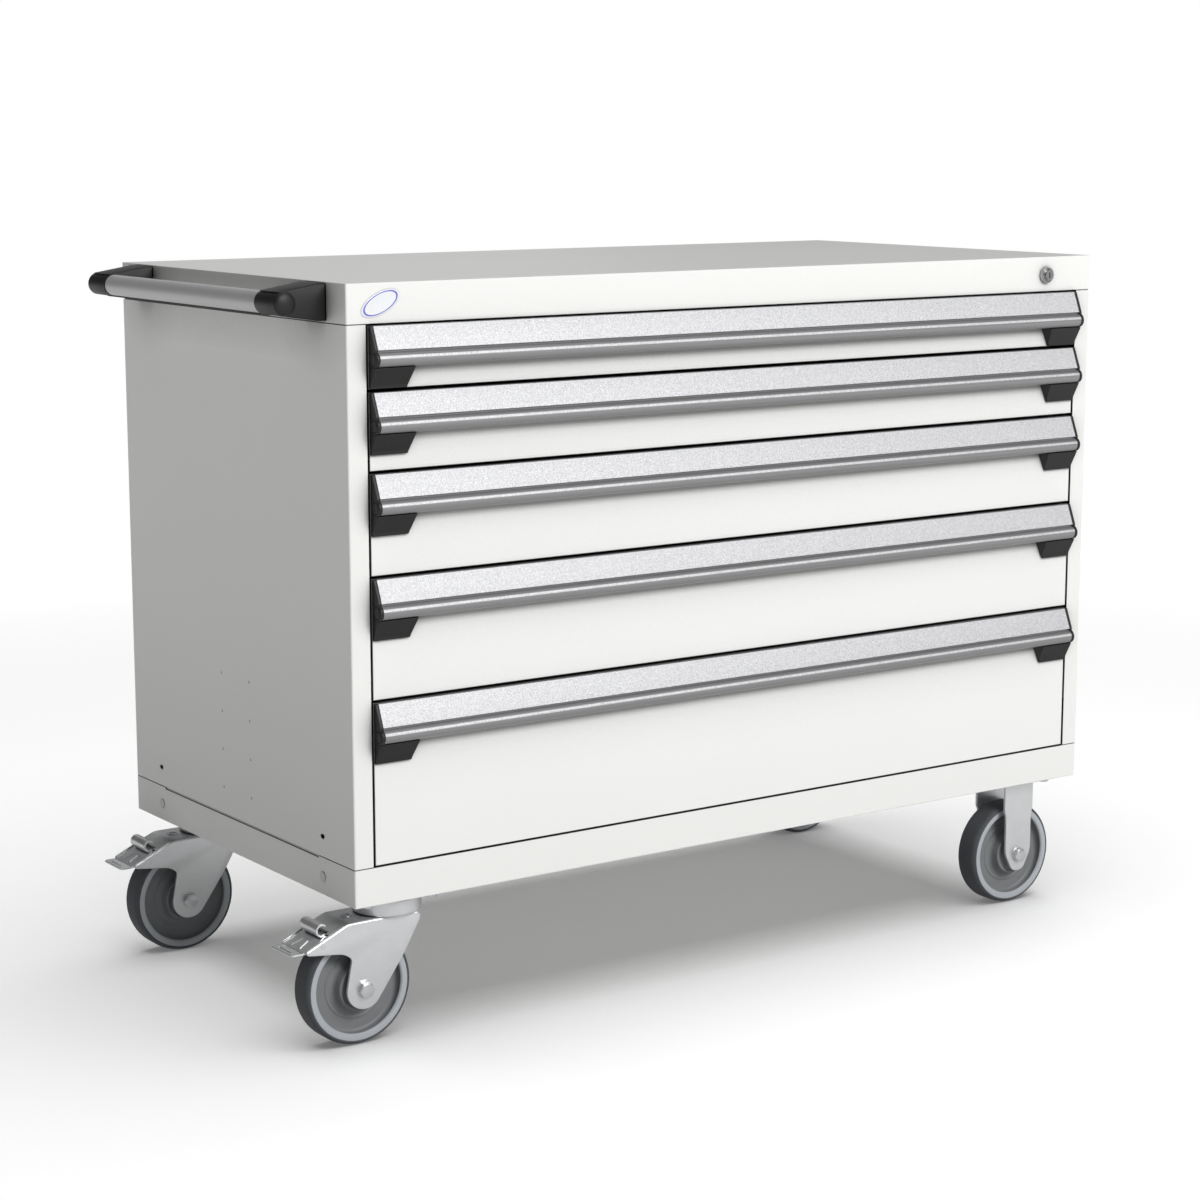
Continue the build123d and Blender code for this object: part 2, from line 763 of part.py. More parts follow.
with BuildPart() as push_brackets:
    for end in (-1, 1):
        with BuildSketch(front_view.offset(-end * bracket_inner)):
            with BuildLine():
                Polyline(
                    (push_axis_x + touch_x, push_axis_z - touch_z),
                    (-half_width - bracket_flat, push_axis_z - rise),
                    (-half_width, push_axis_z - rise),
                    (-half_width, push_axis_z + rise),
                    (-half_width - bracket_flat, push_axis_z + rise),
                    (push_axis_x + touch_x, push_axis_z + touch_z),
                )
                ThreePointArc(
                    (push_axis_x + touch_x, push_axis_z + touch_z),
                    (push_axis_x - collar_radius, push_axis_z),
                    (push_axis_x + touch_x, push_axis_z - touch_z),
                )
            make_face()
        extrude(amount=-end * bracket_width)
        dome_y = cabinet_y + end * (bracket_inner + bracket_width)
        dome_base = (cabinet_x + push_axis_x, dome_y, push_axis_z)
        with BuildSketch(Plane(origin=dome_base, x_dir=(1, 0, 0), z_dir=(0, 0, 1))):
            with BuildLine():
                RadiusArc((collar_radius, 0), (0, end * dome_height), -end * dome_ball)
                Polyline((0, end * dome_height), (0, 0), (collar_radius, 0))
            make_face()
        revolve(axis=Axis(dome_base, (0, 1, 0)))
        with BuildSketch(front_view.offset(-end * bracket_inner)):
            with Locations((push_axis_x, push_axis_z)):
                Circle(push_radius)
            with Locations((push_axis_x, push_axis_z - push_radius)):
                Rectangle(strip_width, 2 * strip_height)
        extrude(amount=-end * socket_depth, mode=Mode.SUBTRACT)
    with BuildSketch(side_view.offset(-half_width)):
        with Locations(*handle_screw_spots):
            Circle(handle_screw_radius + screw_fit)
    extrude(amount=-(handle_screw_length - sheet), mode=Mode.SUBTRACT)
write(push_brackets, "push_brackets")

tube_half = bracket_inner + socket_depth
with BuildPart() as push_tube:
    with BuildSketch(front_view.offset(-tube_half)):
        with Locations((push_axis_x, push_axis_z)):
            Circle(push_radius)
        with Locations((push_axis_x, push_axis_z - push_radius)):
            Rectangle(strip_width, 2 * strip_sink, mode=Mode.SUBTRACT)
        with Locations((push_axis_x, push_axis_z)):
            Circle(push_radius - 2 * strip_sink, mode=Mode.SUBTRACT)
    extrude(amount=2 * tube_half)
write(push_tube, "push_tube")

with BuildPart() as push_strip:
    with BuildSketch(front_view.offset(-tube_half)):
        with Locations((push_axis_x, push_axis_z - push_radius + strip_sink - strip_height / 2)):
            Rectangle(strip_width, strip_height)
    extrude(amount=2 * tube_half)
write(push_strip, "push_strip")

with BuildPart() as push_screws:
    with BuildSketch(side_view.offset(-half_width + sheet)):
        with Locations(*handle_screw_spots):
            Circle(screw_head_radius)
    extrude(amount=screw_head_height)
    with BuildSketch(side_view.offset(-half_width + sheet)):
        with Locations(*handle_screw_spots):
            Circle(handle_screw_radius)
    extrude(amount=-handle_screw_length)
write(push_screws, "push_screws")

# ---------------------------------------------------------------- caster fasteners
plate_low = caster_height - plate_gauge
nut_seat = caster_height + base_floor + doubler_gauge
with BuildPart() as caster_bolts:
    with BuildSketch(plan.offset(plate_low)):
        with Locations(*bolt_spots):
            RegularPolygon(bolt_head_flats / 2, 6, major_radius=False)
    extrude(amount=-bolt_head_height)
    with BuildSketch(plan.offset(plate_low)):
        with Locations(*bolt_spots):
            Circle(caster_bolt_radius)
    extrude(amount=nut_seat - plate_low)
    with BuildSketch(plan.offset(nut_seat)):
        with Locations(*bolt_spots):
            RegularPolygon(bolt_head_flats / 2, 6, major_radius=False)
    extrude(amount=bolt_head_height)
write(caster_bolts, "caster_bolts")


def mounting_plate(x, y):
    """A caster's top plate with its four bolt holes, added to the open part."""
    with BuildSketch(plan.offset(plate_low)) as outline:
        with Locations((x, y)):
            RectangleRounded(plate_length, plate_width, doubler_margin)
            with GridLocations(bolt_spacing_x, bolt_spacing_y, 2, 2):
                Circle(caster_bolt_radius + bolt_hole_clearance, mode=Mode.SUBTRACT)
    extrude(outline.sketch, amount=plate_gauge)


# ---------------------------------------------------------------- swivel casters
head_low = fork_top
race_low = head_low + head_floor + race_gap
nut_top = fork_top - fork_gauge - race_gap


# The fixed half of each swivel head: mounting plate, upper race and kingpin.
with BuildPart() as swivel_plates:
    for y in (-caster_y, caster_y):
        mounting_plate(swivel_x, y)
    swivel_spots = [(swivel_x, -caster_y), (swivel_x, caster_y)]
    with BuildSketch(plan.offset(plate_low)):
        with Locations(*swivel_spots):
            Circle(race_radius)
            Circle(race_bore, mode=Mode.SUBTRACT)
    extrude(amount=-(plate_low - race_low))
    with BuildSketch(plan.offset(plate_low)):
        with Locations(*swivel_spots):
            Circle(kingpin_radius)
    extrude(amount=-(plate_low - nut_top))
    with BuildSketch(plan.offset(nut_top)):
        with Locations(*swivel_spots):
            Circle(kingpin_nut_radius)
    extrude(amount=-kingpin_nut_height)
write(swivel_plates, "swivel_plates")


def tangent_point(x, z, radius, turn):
    """Where the tangent from (x, z) touches a circle about the origin; turn is +1 or -1."""
    angle = atan2(z, x) + turn * acos(radius / hypot(x, z))
    return (radius * cos(angle), radius * sin(angle))


slope = hood_slope_drop / hood_slope_run
fork_half = fork_outer / 2
hood_stop_x = pedal_pivot_x + curl_radius + hood_stop_gap


def swivel_outline():
    """A swivel fork's side plate in (x, z) about its axle: a leg with a round end below a
    long brow, and a hole for the brake pedal's pin."""
    top = fork_top - wheel_radius
    tip = top - hood_slope_drop
    right = tangent_point(*brow_heel, leg_end_radius, -1)
    left = tangent_point(*crotch, leg_end_radius, 1)
    with BuildSketch() as outline:
        with BuildLine():
            Polyline(
                right,
                brow_heel,
                (fork_back_x, top - fork_back_height),
                (fork_back_x, top),
                (hood_break_x, top),
                (hood_break_x - hood_slope_run, tip),
                (hood_break_x - hood_slope_run + tip_undercut, tip - tip_undercut),
                brow_under,
                crotch,
                left,
            )
            ThreePointArc(left, (0, -leg_end_radius), right)
        make_face()
        fillet(outline.vertices().sort_by_distance(brow_under)[0], crotch_radius)
        with Locations((pedal_pivot_x, pedal_pivot_z - wheel_radius)):
            Circle(pedal_pin_radius + bore_clearance, mode=Mode.SUBTRACT)
    return outline.sketch


def side_plates(outline, axle_x, y):
    """Two parallel plates of the given outline, each side of the wheel."""
    for start in (-y - fork_half, -y + fork_half - fork_gauge):
        with BuildSketch(front_view.offset(start)) as blank:
            with Locations((axle_x, wheel_radius)):
                add(outline)
                Circle(axle_radius + axle_clearance, mode=Mode.SUBTRACT)
        extrude(blank.sketch, amount=fork_gauge)


def swivel_fork(y):
    """The turning half of a swivel caster: pressed side plates, a flat top with the lower
    race cup, and a short sloping hood over the wheel."""
    with BuildPart() as fork:
        side_plates(swivel_outline(), swivel_axle_x, y)
        break_x = swivel_axle_x + hood_break_x
        stop_x = swivel_axle_x + hood_stop_x
        with BuildSketch(front_view.offset(-y - fork_half)):
            Polygon(
                (swivel_axle_x + fork_back_x, fork_top),
                (break_x, fork_top),
                (stop_x, fork_top - (break_x - stop_x) * slope),
                (stop_x, fork_top - (break_x - stop_x) * slope - fork_gauge),
                (break_x, fork_top - fork_gauge),
                (swivel_axle_x + fork_back_x, fork_top - fork_gauge),
                align=None,
            )
        extrude(amount=fork_outer)
        with BuildSketch(plan.offset(head_low)):
            with Locations((swivel_x, y)):
                Circle(head_radius)
        extrude(amount=head_floor)
        with BuildSketch(plan.offset(head_low + head_floor)):
            with Locations((swivel_x, y)):
                Circle(head_radius)
                Circle(head_radius - head_wall, mode=Mode.SUBTRACT)
        extrude(amount=plate_low - head_low - head_floor - race_gap * 2)
        with BuildSketch(plan.offset(head_low + head_floor)):
            with Locations((swivel_x, y)):
                Circle(kingpin_radius + bore_clearance)
        extrude(amount=-(head_floor + fork_gauge), mode=Mode.SUBTRACT)
    return fork


# Brake pedal: a rocker between the fork's brows. Its outer lip is trodden down to lock, and
# its curled inner end to release. A shoe below the pivot meets the tread when it is locked.
pivot_reach = hypot(pedal_pivot_x, pedal_pivot_z - wheel_radius)
pivot_angle = degrees(atan2(wheel_radius - pedal_pivot_z, -pedal_pivot_x))
shoe_distance = wheel_radius + shoe_clearance + shoe_radius
shoe_arm = pivot_reach - shoe_distance + shoe_slant
shoe_cosine = (pivot_reach**2 + shoe_arm**2 - shoe_distance**2) / (2 * pivot_reach * shoe_arm)
shoe_angle = pivot_angle - degrees(acos(shoe_cosine)) - pedal_travel
pedal_half = fork_half - fork_gauge - pedal_play


def brake_pedal(y):
    """One pressed rocker plate with its pivot pin, shoe, curl and slotted lip."""
    pivot_x = swivel_axle_x + pedal_pivot_x
    tip_x = swivel_axle_x + hood_break_x - hood_slope_run
    tip_z = fork_top - hood_slope_drop
    start_x = pivot_x + curl_radius
    start_z = fork_top - (swivel_axle_x + hood_break_x - start_x) * slope - pedal_gap
    curl_x = start_x - curl_radius / 2
    curl_z = start_z + curl_radius - pedal_gauge / 2
    boss = 2 * pedal_pin_radius
    shoe_x = pivot_x + shoe_arm * cos(radians(shoe_angle))
    shoe_z = pedal_pivot_z + shoe_arm * sin(radians(shoe_angle))
    lip_x = swivel_axle_x - pedal_lip_reach
    with BuildPart() as pedal:
        with BuildSketch(front_view.offset(-y - pedal_half)):
            Polygon(
                (start_x, start_z),
                (tip_x, tip_z - pedal_gap),
                (tip_x, tip_z - pedal_gap - pedal_gauge),
                (start_x, start_z - pedal_gauge),
                align=None,
            )
        extrude(amount=2 * pedal_half)
        with BuildSketch(plan.offset(tip_z - pedal_gap - pedal_gauge)):
            with Locations((tip_x, y)):
                RectangleRounded(2 * (tip_x - lip_x), 2 * pedal_half, pedal_lip_round)
            with Locations((tip_x - pedal_slot_setback, y)):
                SlotOverall(*pedal_slot, rotation=90, mode=Mode.SUBTRACT)
            with Locations((tip_x + pedal_half, y)):
                Rectangle(2 * pedal_half, 2 * pedal_half, mode=Mode.SUBTRACT)
        extrude(amount=pedal_gauge)
        with BuildSketch(front_view.offset(-y - curl_width / 2)):
            with Locations((curl_x, curl_z)):
                Circle(curl_radius)
                Circle(curl_radius - pedal_gauge, mode=Mode.SUBTRACT)
            with Locations((curl_x + curl_radius, curl_z)):
                Rectangle(*curl_mouth, mode=Mode.SUBTRACT)
        extrude(amount=curl_width)
        with BuildSketch(front_view.offset(-y - pedal_half)):
            with Locations((pivot_x, pedal_pivot_z)):
                Circle(boss)
            with Locations((shoe_x, shoe_z)):
                Circle(shoe_radius)
            with BuildLine():
                Polyline(
                    (pivot_x - boss, start_z - (curl_radius + boss) * slope - pedal_gauge / 2),
                    (pivot_x - boss, pedal_pivot_z),
                    (shoe_x - shoe_radius, shoe_z),
                    (shoe_x + shoe_radius, shoe_z),
                    (pivot_x + boss, pedal_pivot_z),
                    (pivot_x + boss, start_z - (curl_radius - boss) * slope - pedal_gauge / 2),
                    close=True,
                )
            make_face()
        extrude(amount=2 * pedal_half)
        with BuildSketch(front_view.offset(-y - fork_half)):
            with Locations((pivot_x, pedal_pivot_z)):
                Circle(pedal_pin_radius)
        extrude(amount=fork_outer)
    return pedal


# ---------------------------------------------------------------- wheels and axles
def tread(x, y):
    """The grey rubber tyre, a ring with rounded shoulders."""
    with BuildPart() as ring:
        with BuildSketch(front_view.offset(-y - tread_width / 2)):
            with Locations((x, wheel_radius)):
                Circle(wheel_radius)
                Circle(wheel_radius - tread_thickness, mode=Mode.SUBTRACT)
        extrude(amount=tread_width)
        outer = ring.edges().filter_by(GeomType.CIRCLE).sort_by(SortBy.LENGTH)[-2:]
        fillet(outer, tread_round)
    return ring


def wheel_centre(x, y):
    """The moulded centre: a rim under the tyre, a set-back web and a hub with its bore."""
    rim_radius = wheel_radius - tread_thickness
    with BuildPart() as core:
        for radius, bore, width in (
            (rim_radius, rim_radius - rim_thickness, rim_width),
            (rim_radius - rim_thickness / 2, hub_cap_radius, web_thickness),
            (hub_radius, sleeve_radius + bore_clearance, hub_width),
        ):
            with BuildSketch(front_view.offset(-y - width / 2)):
                with Locations((x, wheel_radius)):
                    Circle(radius)
                    Circle(bore, mode=Mode.SUBTRACT)
            extrude(amount=width)
    return core


def axle_set(places):
    """Axle bolts with hex heads and nuts, each in a spacer sleeve between the fork's sides."""
    inside = fork_outer / 2 - fork_gauge
    with BuildPart() as axles:
        for x, y in places:
            with BuildSketch(front_view.offset(-y - fork_half)):
                with Locations((x, wheel_radius)):
                    RegularPolygon(nut_flats / 2, 6, major_radius=False)
            extrude(amount=-nut_height)
            with BuildSketch(front_view.offset(-y + fork_half)):
                with Locations((x, wheel_radius)):
                    RegularPolygon(nut_flats / 2, 6, major_radius=False, rotation=nut_turn)
            extrude(amount=nut_height)
            with BuildSketch(front_view.offset(-y - fork_half)):
                with Locations((x, wheel_radius)):
                    Circle(axle_radius)
            extrude(amount=fork_outer)
            with BuildSketch(front_view.offset(-y - inside)):
                with Locations((x, wheel_radius)):
                    Circle(sleeve_radius)
            extrude(amount=2 * inside)
    return axles


# ---------------------------------------------------------------- rigid casters
def rigid_outline():
    """A rigid fork's leg in (x, z) about its axle, a little narrower below and cut away
    round the axle."""
    top = plate_low - wheel_radius
    waist = rigid_waist_z - wheel_radius
    half_top = rigid_leg_width / 2
    half_waist = rigid_leg_waist / 2
    with BuildSketch() as outline:
        Polygon(
            (-half_top, top),
            (-half_top, waist),
            (-half_waist, waist - half_top + half_waist),
            (-half_waist, fork_gauge),
            (-rigid_tip_width / 2, -leg_end_radius),
            (rigid_tip_width / 2, -leg_end_radius),
            (half_waist, fork_gauge),
            (half_waist, waist - half_top + half_waist),
            (half_top, waist),
            (half_top, top),
            align=None,
        )
        fillet(outline.vertices().group_by(Axis.Y)[0], rigid_tip_round)
    return outline.sketch


# Each rigid fork is a mounting plate with two legs and a flat bridge under it.
with BuildPart() as rigid_forks:
    for y in (-caster_y, caster_y):
        mounting_plate(rigid_x, y)
        side_plates(rigid_outline(), rigid_x, y)
        with BuildSketch(plan.offset(plate_low)):
            with Locations((rigid_x, y)):
                Rectangle(rigid_leg_width, fork_outer)
        extrude(amount=-fork_gauge)
write(rigid_forks, "rigid_forks")


places = {"front": -caster_y, "rear": caster_y}
for place, y in places.items():
    write(swivel_fork(y), f"{place}_swivel_fork")
    write(brake_pedal(y), f"{place}_brake_pedal")
    write(axle_set([(swivel_axle_x, y)]), f"{place}_swivel_axle")
    write(wheel_centre(swivel_axle_x, y), f"{place}_swivel_wheel")
    write(tread(swivel_axle_x, y), f"{place}_swivel_tyre")
    write(wheel_centre(rigid_x, y), f"{place}_rigid_wheel")
    write(tread(rigid_x, y), f"{place}_rigid_tyre")
write(axle_set([(rigid_x, y) for y in places.values()]), "rigid_axles")
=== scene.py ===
import json
from math import radians

import bmesh
import bpy
import numpy as np
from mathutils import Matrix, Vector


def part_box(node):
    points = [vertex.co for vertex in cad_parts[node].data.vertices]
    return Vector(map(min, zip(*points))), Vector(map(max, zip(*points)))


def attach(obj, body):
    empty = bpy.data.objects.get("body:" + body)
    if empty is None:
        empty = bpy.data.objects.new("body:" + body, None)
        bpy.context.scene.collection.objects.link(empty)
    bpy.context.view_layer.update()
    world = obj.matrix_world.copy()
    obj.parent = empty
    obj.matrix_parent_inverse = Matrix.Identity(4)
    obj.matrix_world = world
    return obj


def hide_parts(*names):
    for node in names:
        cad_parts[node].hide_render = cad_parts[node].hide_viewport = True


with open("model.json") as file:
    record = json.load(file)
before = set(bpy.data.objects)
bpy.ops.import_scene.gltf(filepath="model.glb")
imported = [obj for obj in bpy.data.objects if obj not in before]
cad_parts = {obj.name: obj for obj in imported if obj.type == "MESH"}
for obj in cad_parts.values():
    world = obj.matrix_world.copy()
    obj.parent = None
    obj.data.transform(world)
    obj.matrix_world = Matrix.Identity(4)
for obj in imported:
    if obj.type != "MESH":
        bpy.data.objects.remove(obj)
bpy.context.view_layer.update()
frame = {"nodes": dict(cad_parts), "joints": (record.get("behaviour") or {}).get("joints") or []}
mm = 0.001

# ---------------------------------------------------------------- studio
# A pale floor in a white room. Soft lights in front, above and behind reach only the cabinet,
# and a fourth reaches only the floor. Floor and room look brighter than the light they give off.
def grey(tone):
    """A plain grey colour."""
    return (tone, tone, tone, 1)


class Shade:
    """A shader socket of one material. Arithmetic on it adds Math nodes, and node() adds any
    other kind."""

    def __init__(self, tree, socket=None):
        self.tree = tree
        self.socket = socket

    def node(self, kind, settings=None, inputs=None, output=0):
        """Adds a node: first its settings, or a ramp's stops, then a value or a link for each
        input, by name or number. Returns the output asked for."""
        made = self.tree.nodes.new("ShaderNode" + kind)
        for key, value in (settings or {}).items():
            if key == "stops":
                elements = made.color_ramp.elements
                for _ in range(len(value) - 2):
                    elements.new(0.5)
                for element, (position, tone) in zip(elements, value):
                    element.position = position
                    element.color = grey(tone)
            else:
                setattr(made, key, value)
        for key, value in (inputs or {}).items():
            self.feed(made.inputs[key], value)
        return Shade(self.tree, made.outputs[output])

    def feed(self, socket, value):
        """Links a shade to a socket, or sets the socket to a plain value."""
        if isinstance(value, Shade):
            self.tree.links.new(value.socket, socket)
        else:
            socket.default_value = value

    def math(self, operation, first, second):
        return self.node("Math", {"operation": operation}, {0: first, 1: second})

    def __add__(self, other):
        return self.math("ADD", self, other)

    __radd__ = __add__

    def __sub__(self, other):
        return self.math("SUBTRACT", self, other)

    def __rsub__(self, other):
        return self.math("SUBTRACT", other, self)

    def __mul__(self, other):
        return self.math("MULTIPLY", self, other)

    __rmul__ = __mul__

    def __truediv__(self, other):
        return self.math("DIVIDE", self, other)


def finish(name, roughness, metallic=0.0, **constants):
    """A new material: returns it with its shader and its object coordinates. Constants go on the
    shader's own sockets, with _ for a space in a socket's name."""
    material = bpy.data.materials.new(name)
    material.use_nodes = True
    shader = material.node_tree.nodes["Principled BSDF"]
    shader.inputs["Roughness"].default_value = roughness
    shader.inputs["Metallic"].default_value = metallic
    for key, value in constants.items():
        shader.inputs[key.replace("_", " ")].default_value = value
    return material, shader, Shade(material.node_tree).node("TexCoord", output="Object")


def blend(at, factor, first, second):
    """A colour between two others."""
    return at.node("Mix", {"data_type": "RGBA"}, {0: factor, 6: first, 7: second}, output=2)


def ramp(at, stops, factor):
    """A grey read off between stops, each a position and a tone."""
    return at.node("ValToRGB", {"stops": stops}, {"Fac": factor})


floor_half, fade_length = 14.0, 5.0
floor_mesh = bpy.data.meshes.new("studio_floor")
floor_corners = floor_half * np.array([(-1, -1, 0), (1, -1, 0), (1, 1, 0), (-1, 1, 0)])
floor_mesh.from_pydata(floor_corners.tolist(), [], [(0, 1, 2, 3)])
studio_floor = bpy.data.objects.new("studio_floor", floor_mesh)
bpy.context.scene.collection.objects.link(studio_floor)
floor_paint, floor_shader, at = finish("studio_floor_paint", 0.9, Specular_IOR_Level=0.1)
from_middle = at.node("VectorMath", {"operation": "LENGTH"}, {0: at}, "Value")
far = ramp(at, [(0.22, 0), (0.36, 0.45), (0.60, 1)], from_middle / fade_length)
seen = at.node("LightPath", output="Is Camera Ray")
near_tone = blend(at, seen, grey(0.48), grey(0.95))
at.feed(floor_shader.inputs["Base Color"], blend(at, far, near_tone, grey(0)))
at.feed(floor_shader.inputs["Emission Color"], blend(at, far, grey(0.12), grey(1)))
floor_shader.inputs["Emission Strength"].default_value = 1.0
floor_mesh.materials.append(floor_paint)

world = bpy.data.worlds.new("white_room")
world.use_nodes = True
room = Shade(world.node_tree)
given_off = world.node_tree.nodes["Background"]
room.feed(given_off.inputs["Color"], grey(1))
room.feed(given_off.inputs["Strength"], 0.10)
backdrop = room.node("Background", {}, {"Color": grey(1), "Strength": 1.0})
seen = room.node("LightPath", output="Is Camera Ray")
both = room.node("MixShader", {}, {0: seen, 1: Shade(room.tree, given_off.outputs[0]), 2: backdrop})
room.feed(world.node_tree.nodes["World Output"].inputs["Surface"], both)
bpy.context.scene.world = world
bpy.context.scene.view_settings.view_transform = "Standard"


def soft_light(name, place, turn, width, height, watts, on_floor=False):
    """A rectangular area light at a place, turned by Euler angles in degrees. It lights either
    the floor alone or everything but the floor."""
    lamp = bpy.data.lights.new(name, "AREA")
    lamp.shape = "RECTANGLE"
    lamp.size, lamp.size_y, lamp.energy = width, height, watts
    stand = bpy.data.objects.new(name, lamp)
    stand.location = place
    stand.rotation_euler = [radians(angle) for angle in turn]
    bpy.context.scene.collection.objects.link(stand)
    reached = bpy.data.collections.new(name + "_reaches")
    reached.objects.link(studio_floor)
    reached.collection_objects[0].light_linking.link_state = "INCLUDE" if on_floor else "EXCLUDE"
    stand.light_linking.receiver_collection = reached


soft_light("front_light", (1.5, -8.0, 5.4), (59, 0, 9), 4.6, 3.4, 705)
soft_light("top_light", (0.2, 0.6, 4.2), (0, 0, 0), 3.0, 3.0, 31)
soft_light("back_light", (1.5, 4.5, 2.6), (-62, 0, -18), 3.0, 2.0, 10)
soft_light("floor_light", (0.3, -0.8, 4.5), (0, 0, 0), 6.0, 6.0, 300, on_floor=True)

camera_data = bpy.data.cameras.new("camera")
camera_data.sensor_width = 36.0
camera_data.lens = 81.61
camera = bpy.data.objects.new("camera", camera_data)
camera.location = (-2.1699, -3.0976, 1.1397)
camera.rotation_euler = [radians(angle) for angle in (80.033, 0, -34.961)]
bpy.context.scene.collection.objects.link(camera)
bpy.context.scene.camera = camera


# ---------------------------------------------------------------- housing
# A folded housing of 1.5 mm sheet steel: top cap, two side panels, back and base frame, spot
# welded and powder coated warm white. The coat has a fine orange peel and dulls on its folds.
def noise(at, scale, detail=2.0, roughness=0.5):
    """Cloudy noise from 0 to 1, scale features to the metre."""
    inputs = {"Vector": at, "Scale": scale, "Detail": detail, "Roughness": roughness}
    return at.node("TexNoise", {}, inputs)


def alike(at, first, second):
    """How alike two directions are: 1 the same, 0 square to each other."""
    return at.node("VectorMath", {"operation": "DOT_PRODUCT"}, {0: first, 1: second}, "Value")


def worn_edges(at, radius):
    """How near a fold or corner is, from 0 on a flat to 1 on the edge, and its rounded normal."""
    rounded_normal = at.node("Bevel", {"samples": 6}, {"Radius": radius})
    turn = 1 - alike(at, rounded_normal, at.node("NewGeometry", output="Normal"))
    return ramp(at, [(0.02, 0), (0.35, 1)], turn), rounded_normal


def bumps(at, strength, depth, height, over=None):
    """A normal that follows a height, laid over another normal if one is given."""
    inputs = {"Strength": strength, "Distance": depth, "Height": height}
    return at.node("Bump", {}, inputs if over is None else {**inputs, "Normal": over})


def painted_crevice_shade(at, reach):
    """How shut in a spot is within reach, from 0 in the open to 1 deep in a gap, by ambient occlusion.
    It paints shade into a colour: darker in gaps, between parts and under things."""
    return 1 - at.node("AmbientOcclusion", {"samples": 8}, {"Distance": reach}, "AO")


def powder_coat(name, colour, dull, peel):
    """Powder coat: two close tones in soft clouds, duller folds, painted shade in gaps and under handles,
    and an orange-peel bump.
    """
    material, shader, at = finish(name, 0.42, Specular_IOR_Level=0.45)
    edge, edge_normal = worn_edges(at, 0.9 * mm)
    clouds = noise(at, 3.0, 4)
    tone = blend(at, clouds, (*colour, 1), (*dull, 1))
    tone = blend(at, edge * 0.35, tone, (*[0.93 * c for c in dull], 1))
    # Painted shade: the coat's colour darkens to near black in gaps, between parts and under the handles.
    painted_shade = ramp(at, [(0.04, 0), (0.16, 0.22), (0.36, 0.50), (0.75, 1)], painted_crevice_shade(at, 80 * mm))
    tone = blend(at, painted_shade, tone, grey(0.03))
    at.feed(shader.inputs["Base Color"], tone)
    at.feed(shader.inputs["Roughness"], 0.36 + 0.10 * noise(at, 40, 3) + 0.06 * clouds)
    height = noise(at, 900, 2) + 0.5 * noise(at, 260, 1)
    at.feed(shader.inputs["Normal"], bumps(at, peel, 0.12 * mm, height, edge_normal))
    return material


def dress(material, *names):
    """Gives CAD nodes a material."""
    for name in names:
        for slot in frame["nodes"][name].material_slots:
            slot.material = material


housing_coat = powder_coat("housing_coat", (0.875, 0.875, 0.855), (0.845, 0.845, 0.825), 0.10)
dress(housing_coat, "top_cap", "left_side_panel", "right_side_panel", "back_panel", "base_frame")

# ---------------------------------------------------------------- base hardware
# Push-in plastic plugs close the base's side holes. Inside, thick zinc-plated plates under the
# base's floor spread the load of each caster's four bolts.
plug_plastic, plug_shader, at = finish("plug_plastic", 0.5)
plug_rim, _ = worn_edges(at, 1.2 * mm)
plug_tone = blend(at, noise(at, 400, 3), (0.66, 0.66, 0.65, 1), (0.74, 0.74, 0.73, 1))
plug_tone = blend(at, plug_rim, plug_tone, grey(0.05))
at.feed(plug_shader.inputs["Base Color"], plug_tone)
at.feed(plug_shader.inputs["Roughness"], 0.42 + 0.15 * noise(at, 900, 2))
dress(plug_plastic, "base_plugs")


def stretched(at, scale):
    """Coordinates stretched by a scale for each axis, for grain that runs one way."""
    return at.node("Mapping", {}, {"Vector": at, "Scale": scale})


def zinc(name, light, dark, rough, streak):
    """Zinc plating: crystal clouds in two greys, fine rolling streaks, brighter cut edges and painted shade
    in narrow gaps.
    """
    material, shader, at = finish(name, rough, 0.85)
    edge, edge_normal = worn_edges(at, 0.5 * mm)
    clouds = noise(at, 55, 4, 0.6)
    streaks = noise(stretched(at, streak), 1.0, 3)
    tone = blend(at, clouds * 0.6 + streaks * 0.4, (*dark, 1), (*light, 1))
    tone = blend(at, edge, tone, (0.86, 0.87, 0.88, 1))
    # Painted shade: the zinc's colour darkens to near black deep in narrow gaps between parts.
    painted_shade = ramp(at, [(0.45, 0), (0.95, 1)], painted_crevice_shade(at, 14 * mm))
    tone = blend(at, painted_shade, tone, (0.05, 0.05, 0.052, 1))
    at.feed(shader.inputs["Base Color"], tone)
    at.feed(shader.inputs["Roughness"], rough - 0.08 + 0.20 * streaks)
    at.feed(shader.inputs["Normal"], bumps(at, 0.15, 0.05 * mm, streaks + clouds, edge_normal))
    return material


rolled_zinc = zinc("rolled_zinc", (0.66, 0.67, 0.68), (0.48, 0.49, 0.51), 0.38, (900, 14, 900))
dress(rolled_zinc, "caster_doublers", "slide_posts", "cabinet_slides", "lock_bar")

# ---------------------------------------------------------------- drawers
# Five spot-welded steel drawers with deep folded fronts, powder coated to match the housing. Each
# rides on a pair of telescopic slides of rolled, zinc-plated channel.
drawers = range(1, 6)
drawer_coat = powder_coat("drawer_coat", (0.885, 0.885, 0.868), (0.860, 0.860, 0.842), 0.09)
dress(drawer_coat, *[f"drawer_{n}_box" for n in drawers])
for slide in ("slides", "middle_slides"):
    dress(rolled_zinc, *[f"drawer_{n}_{slide}" for n in drawers])


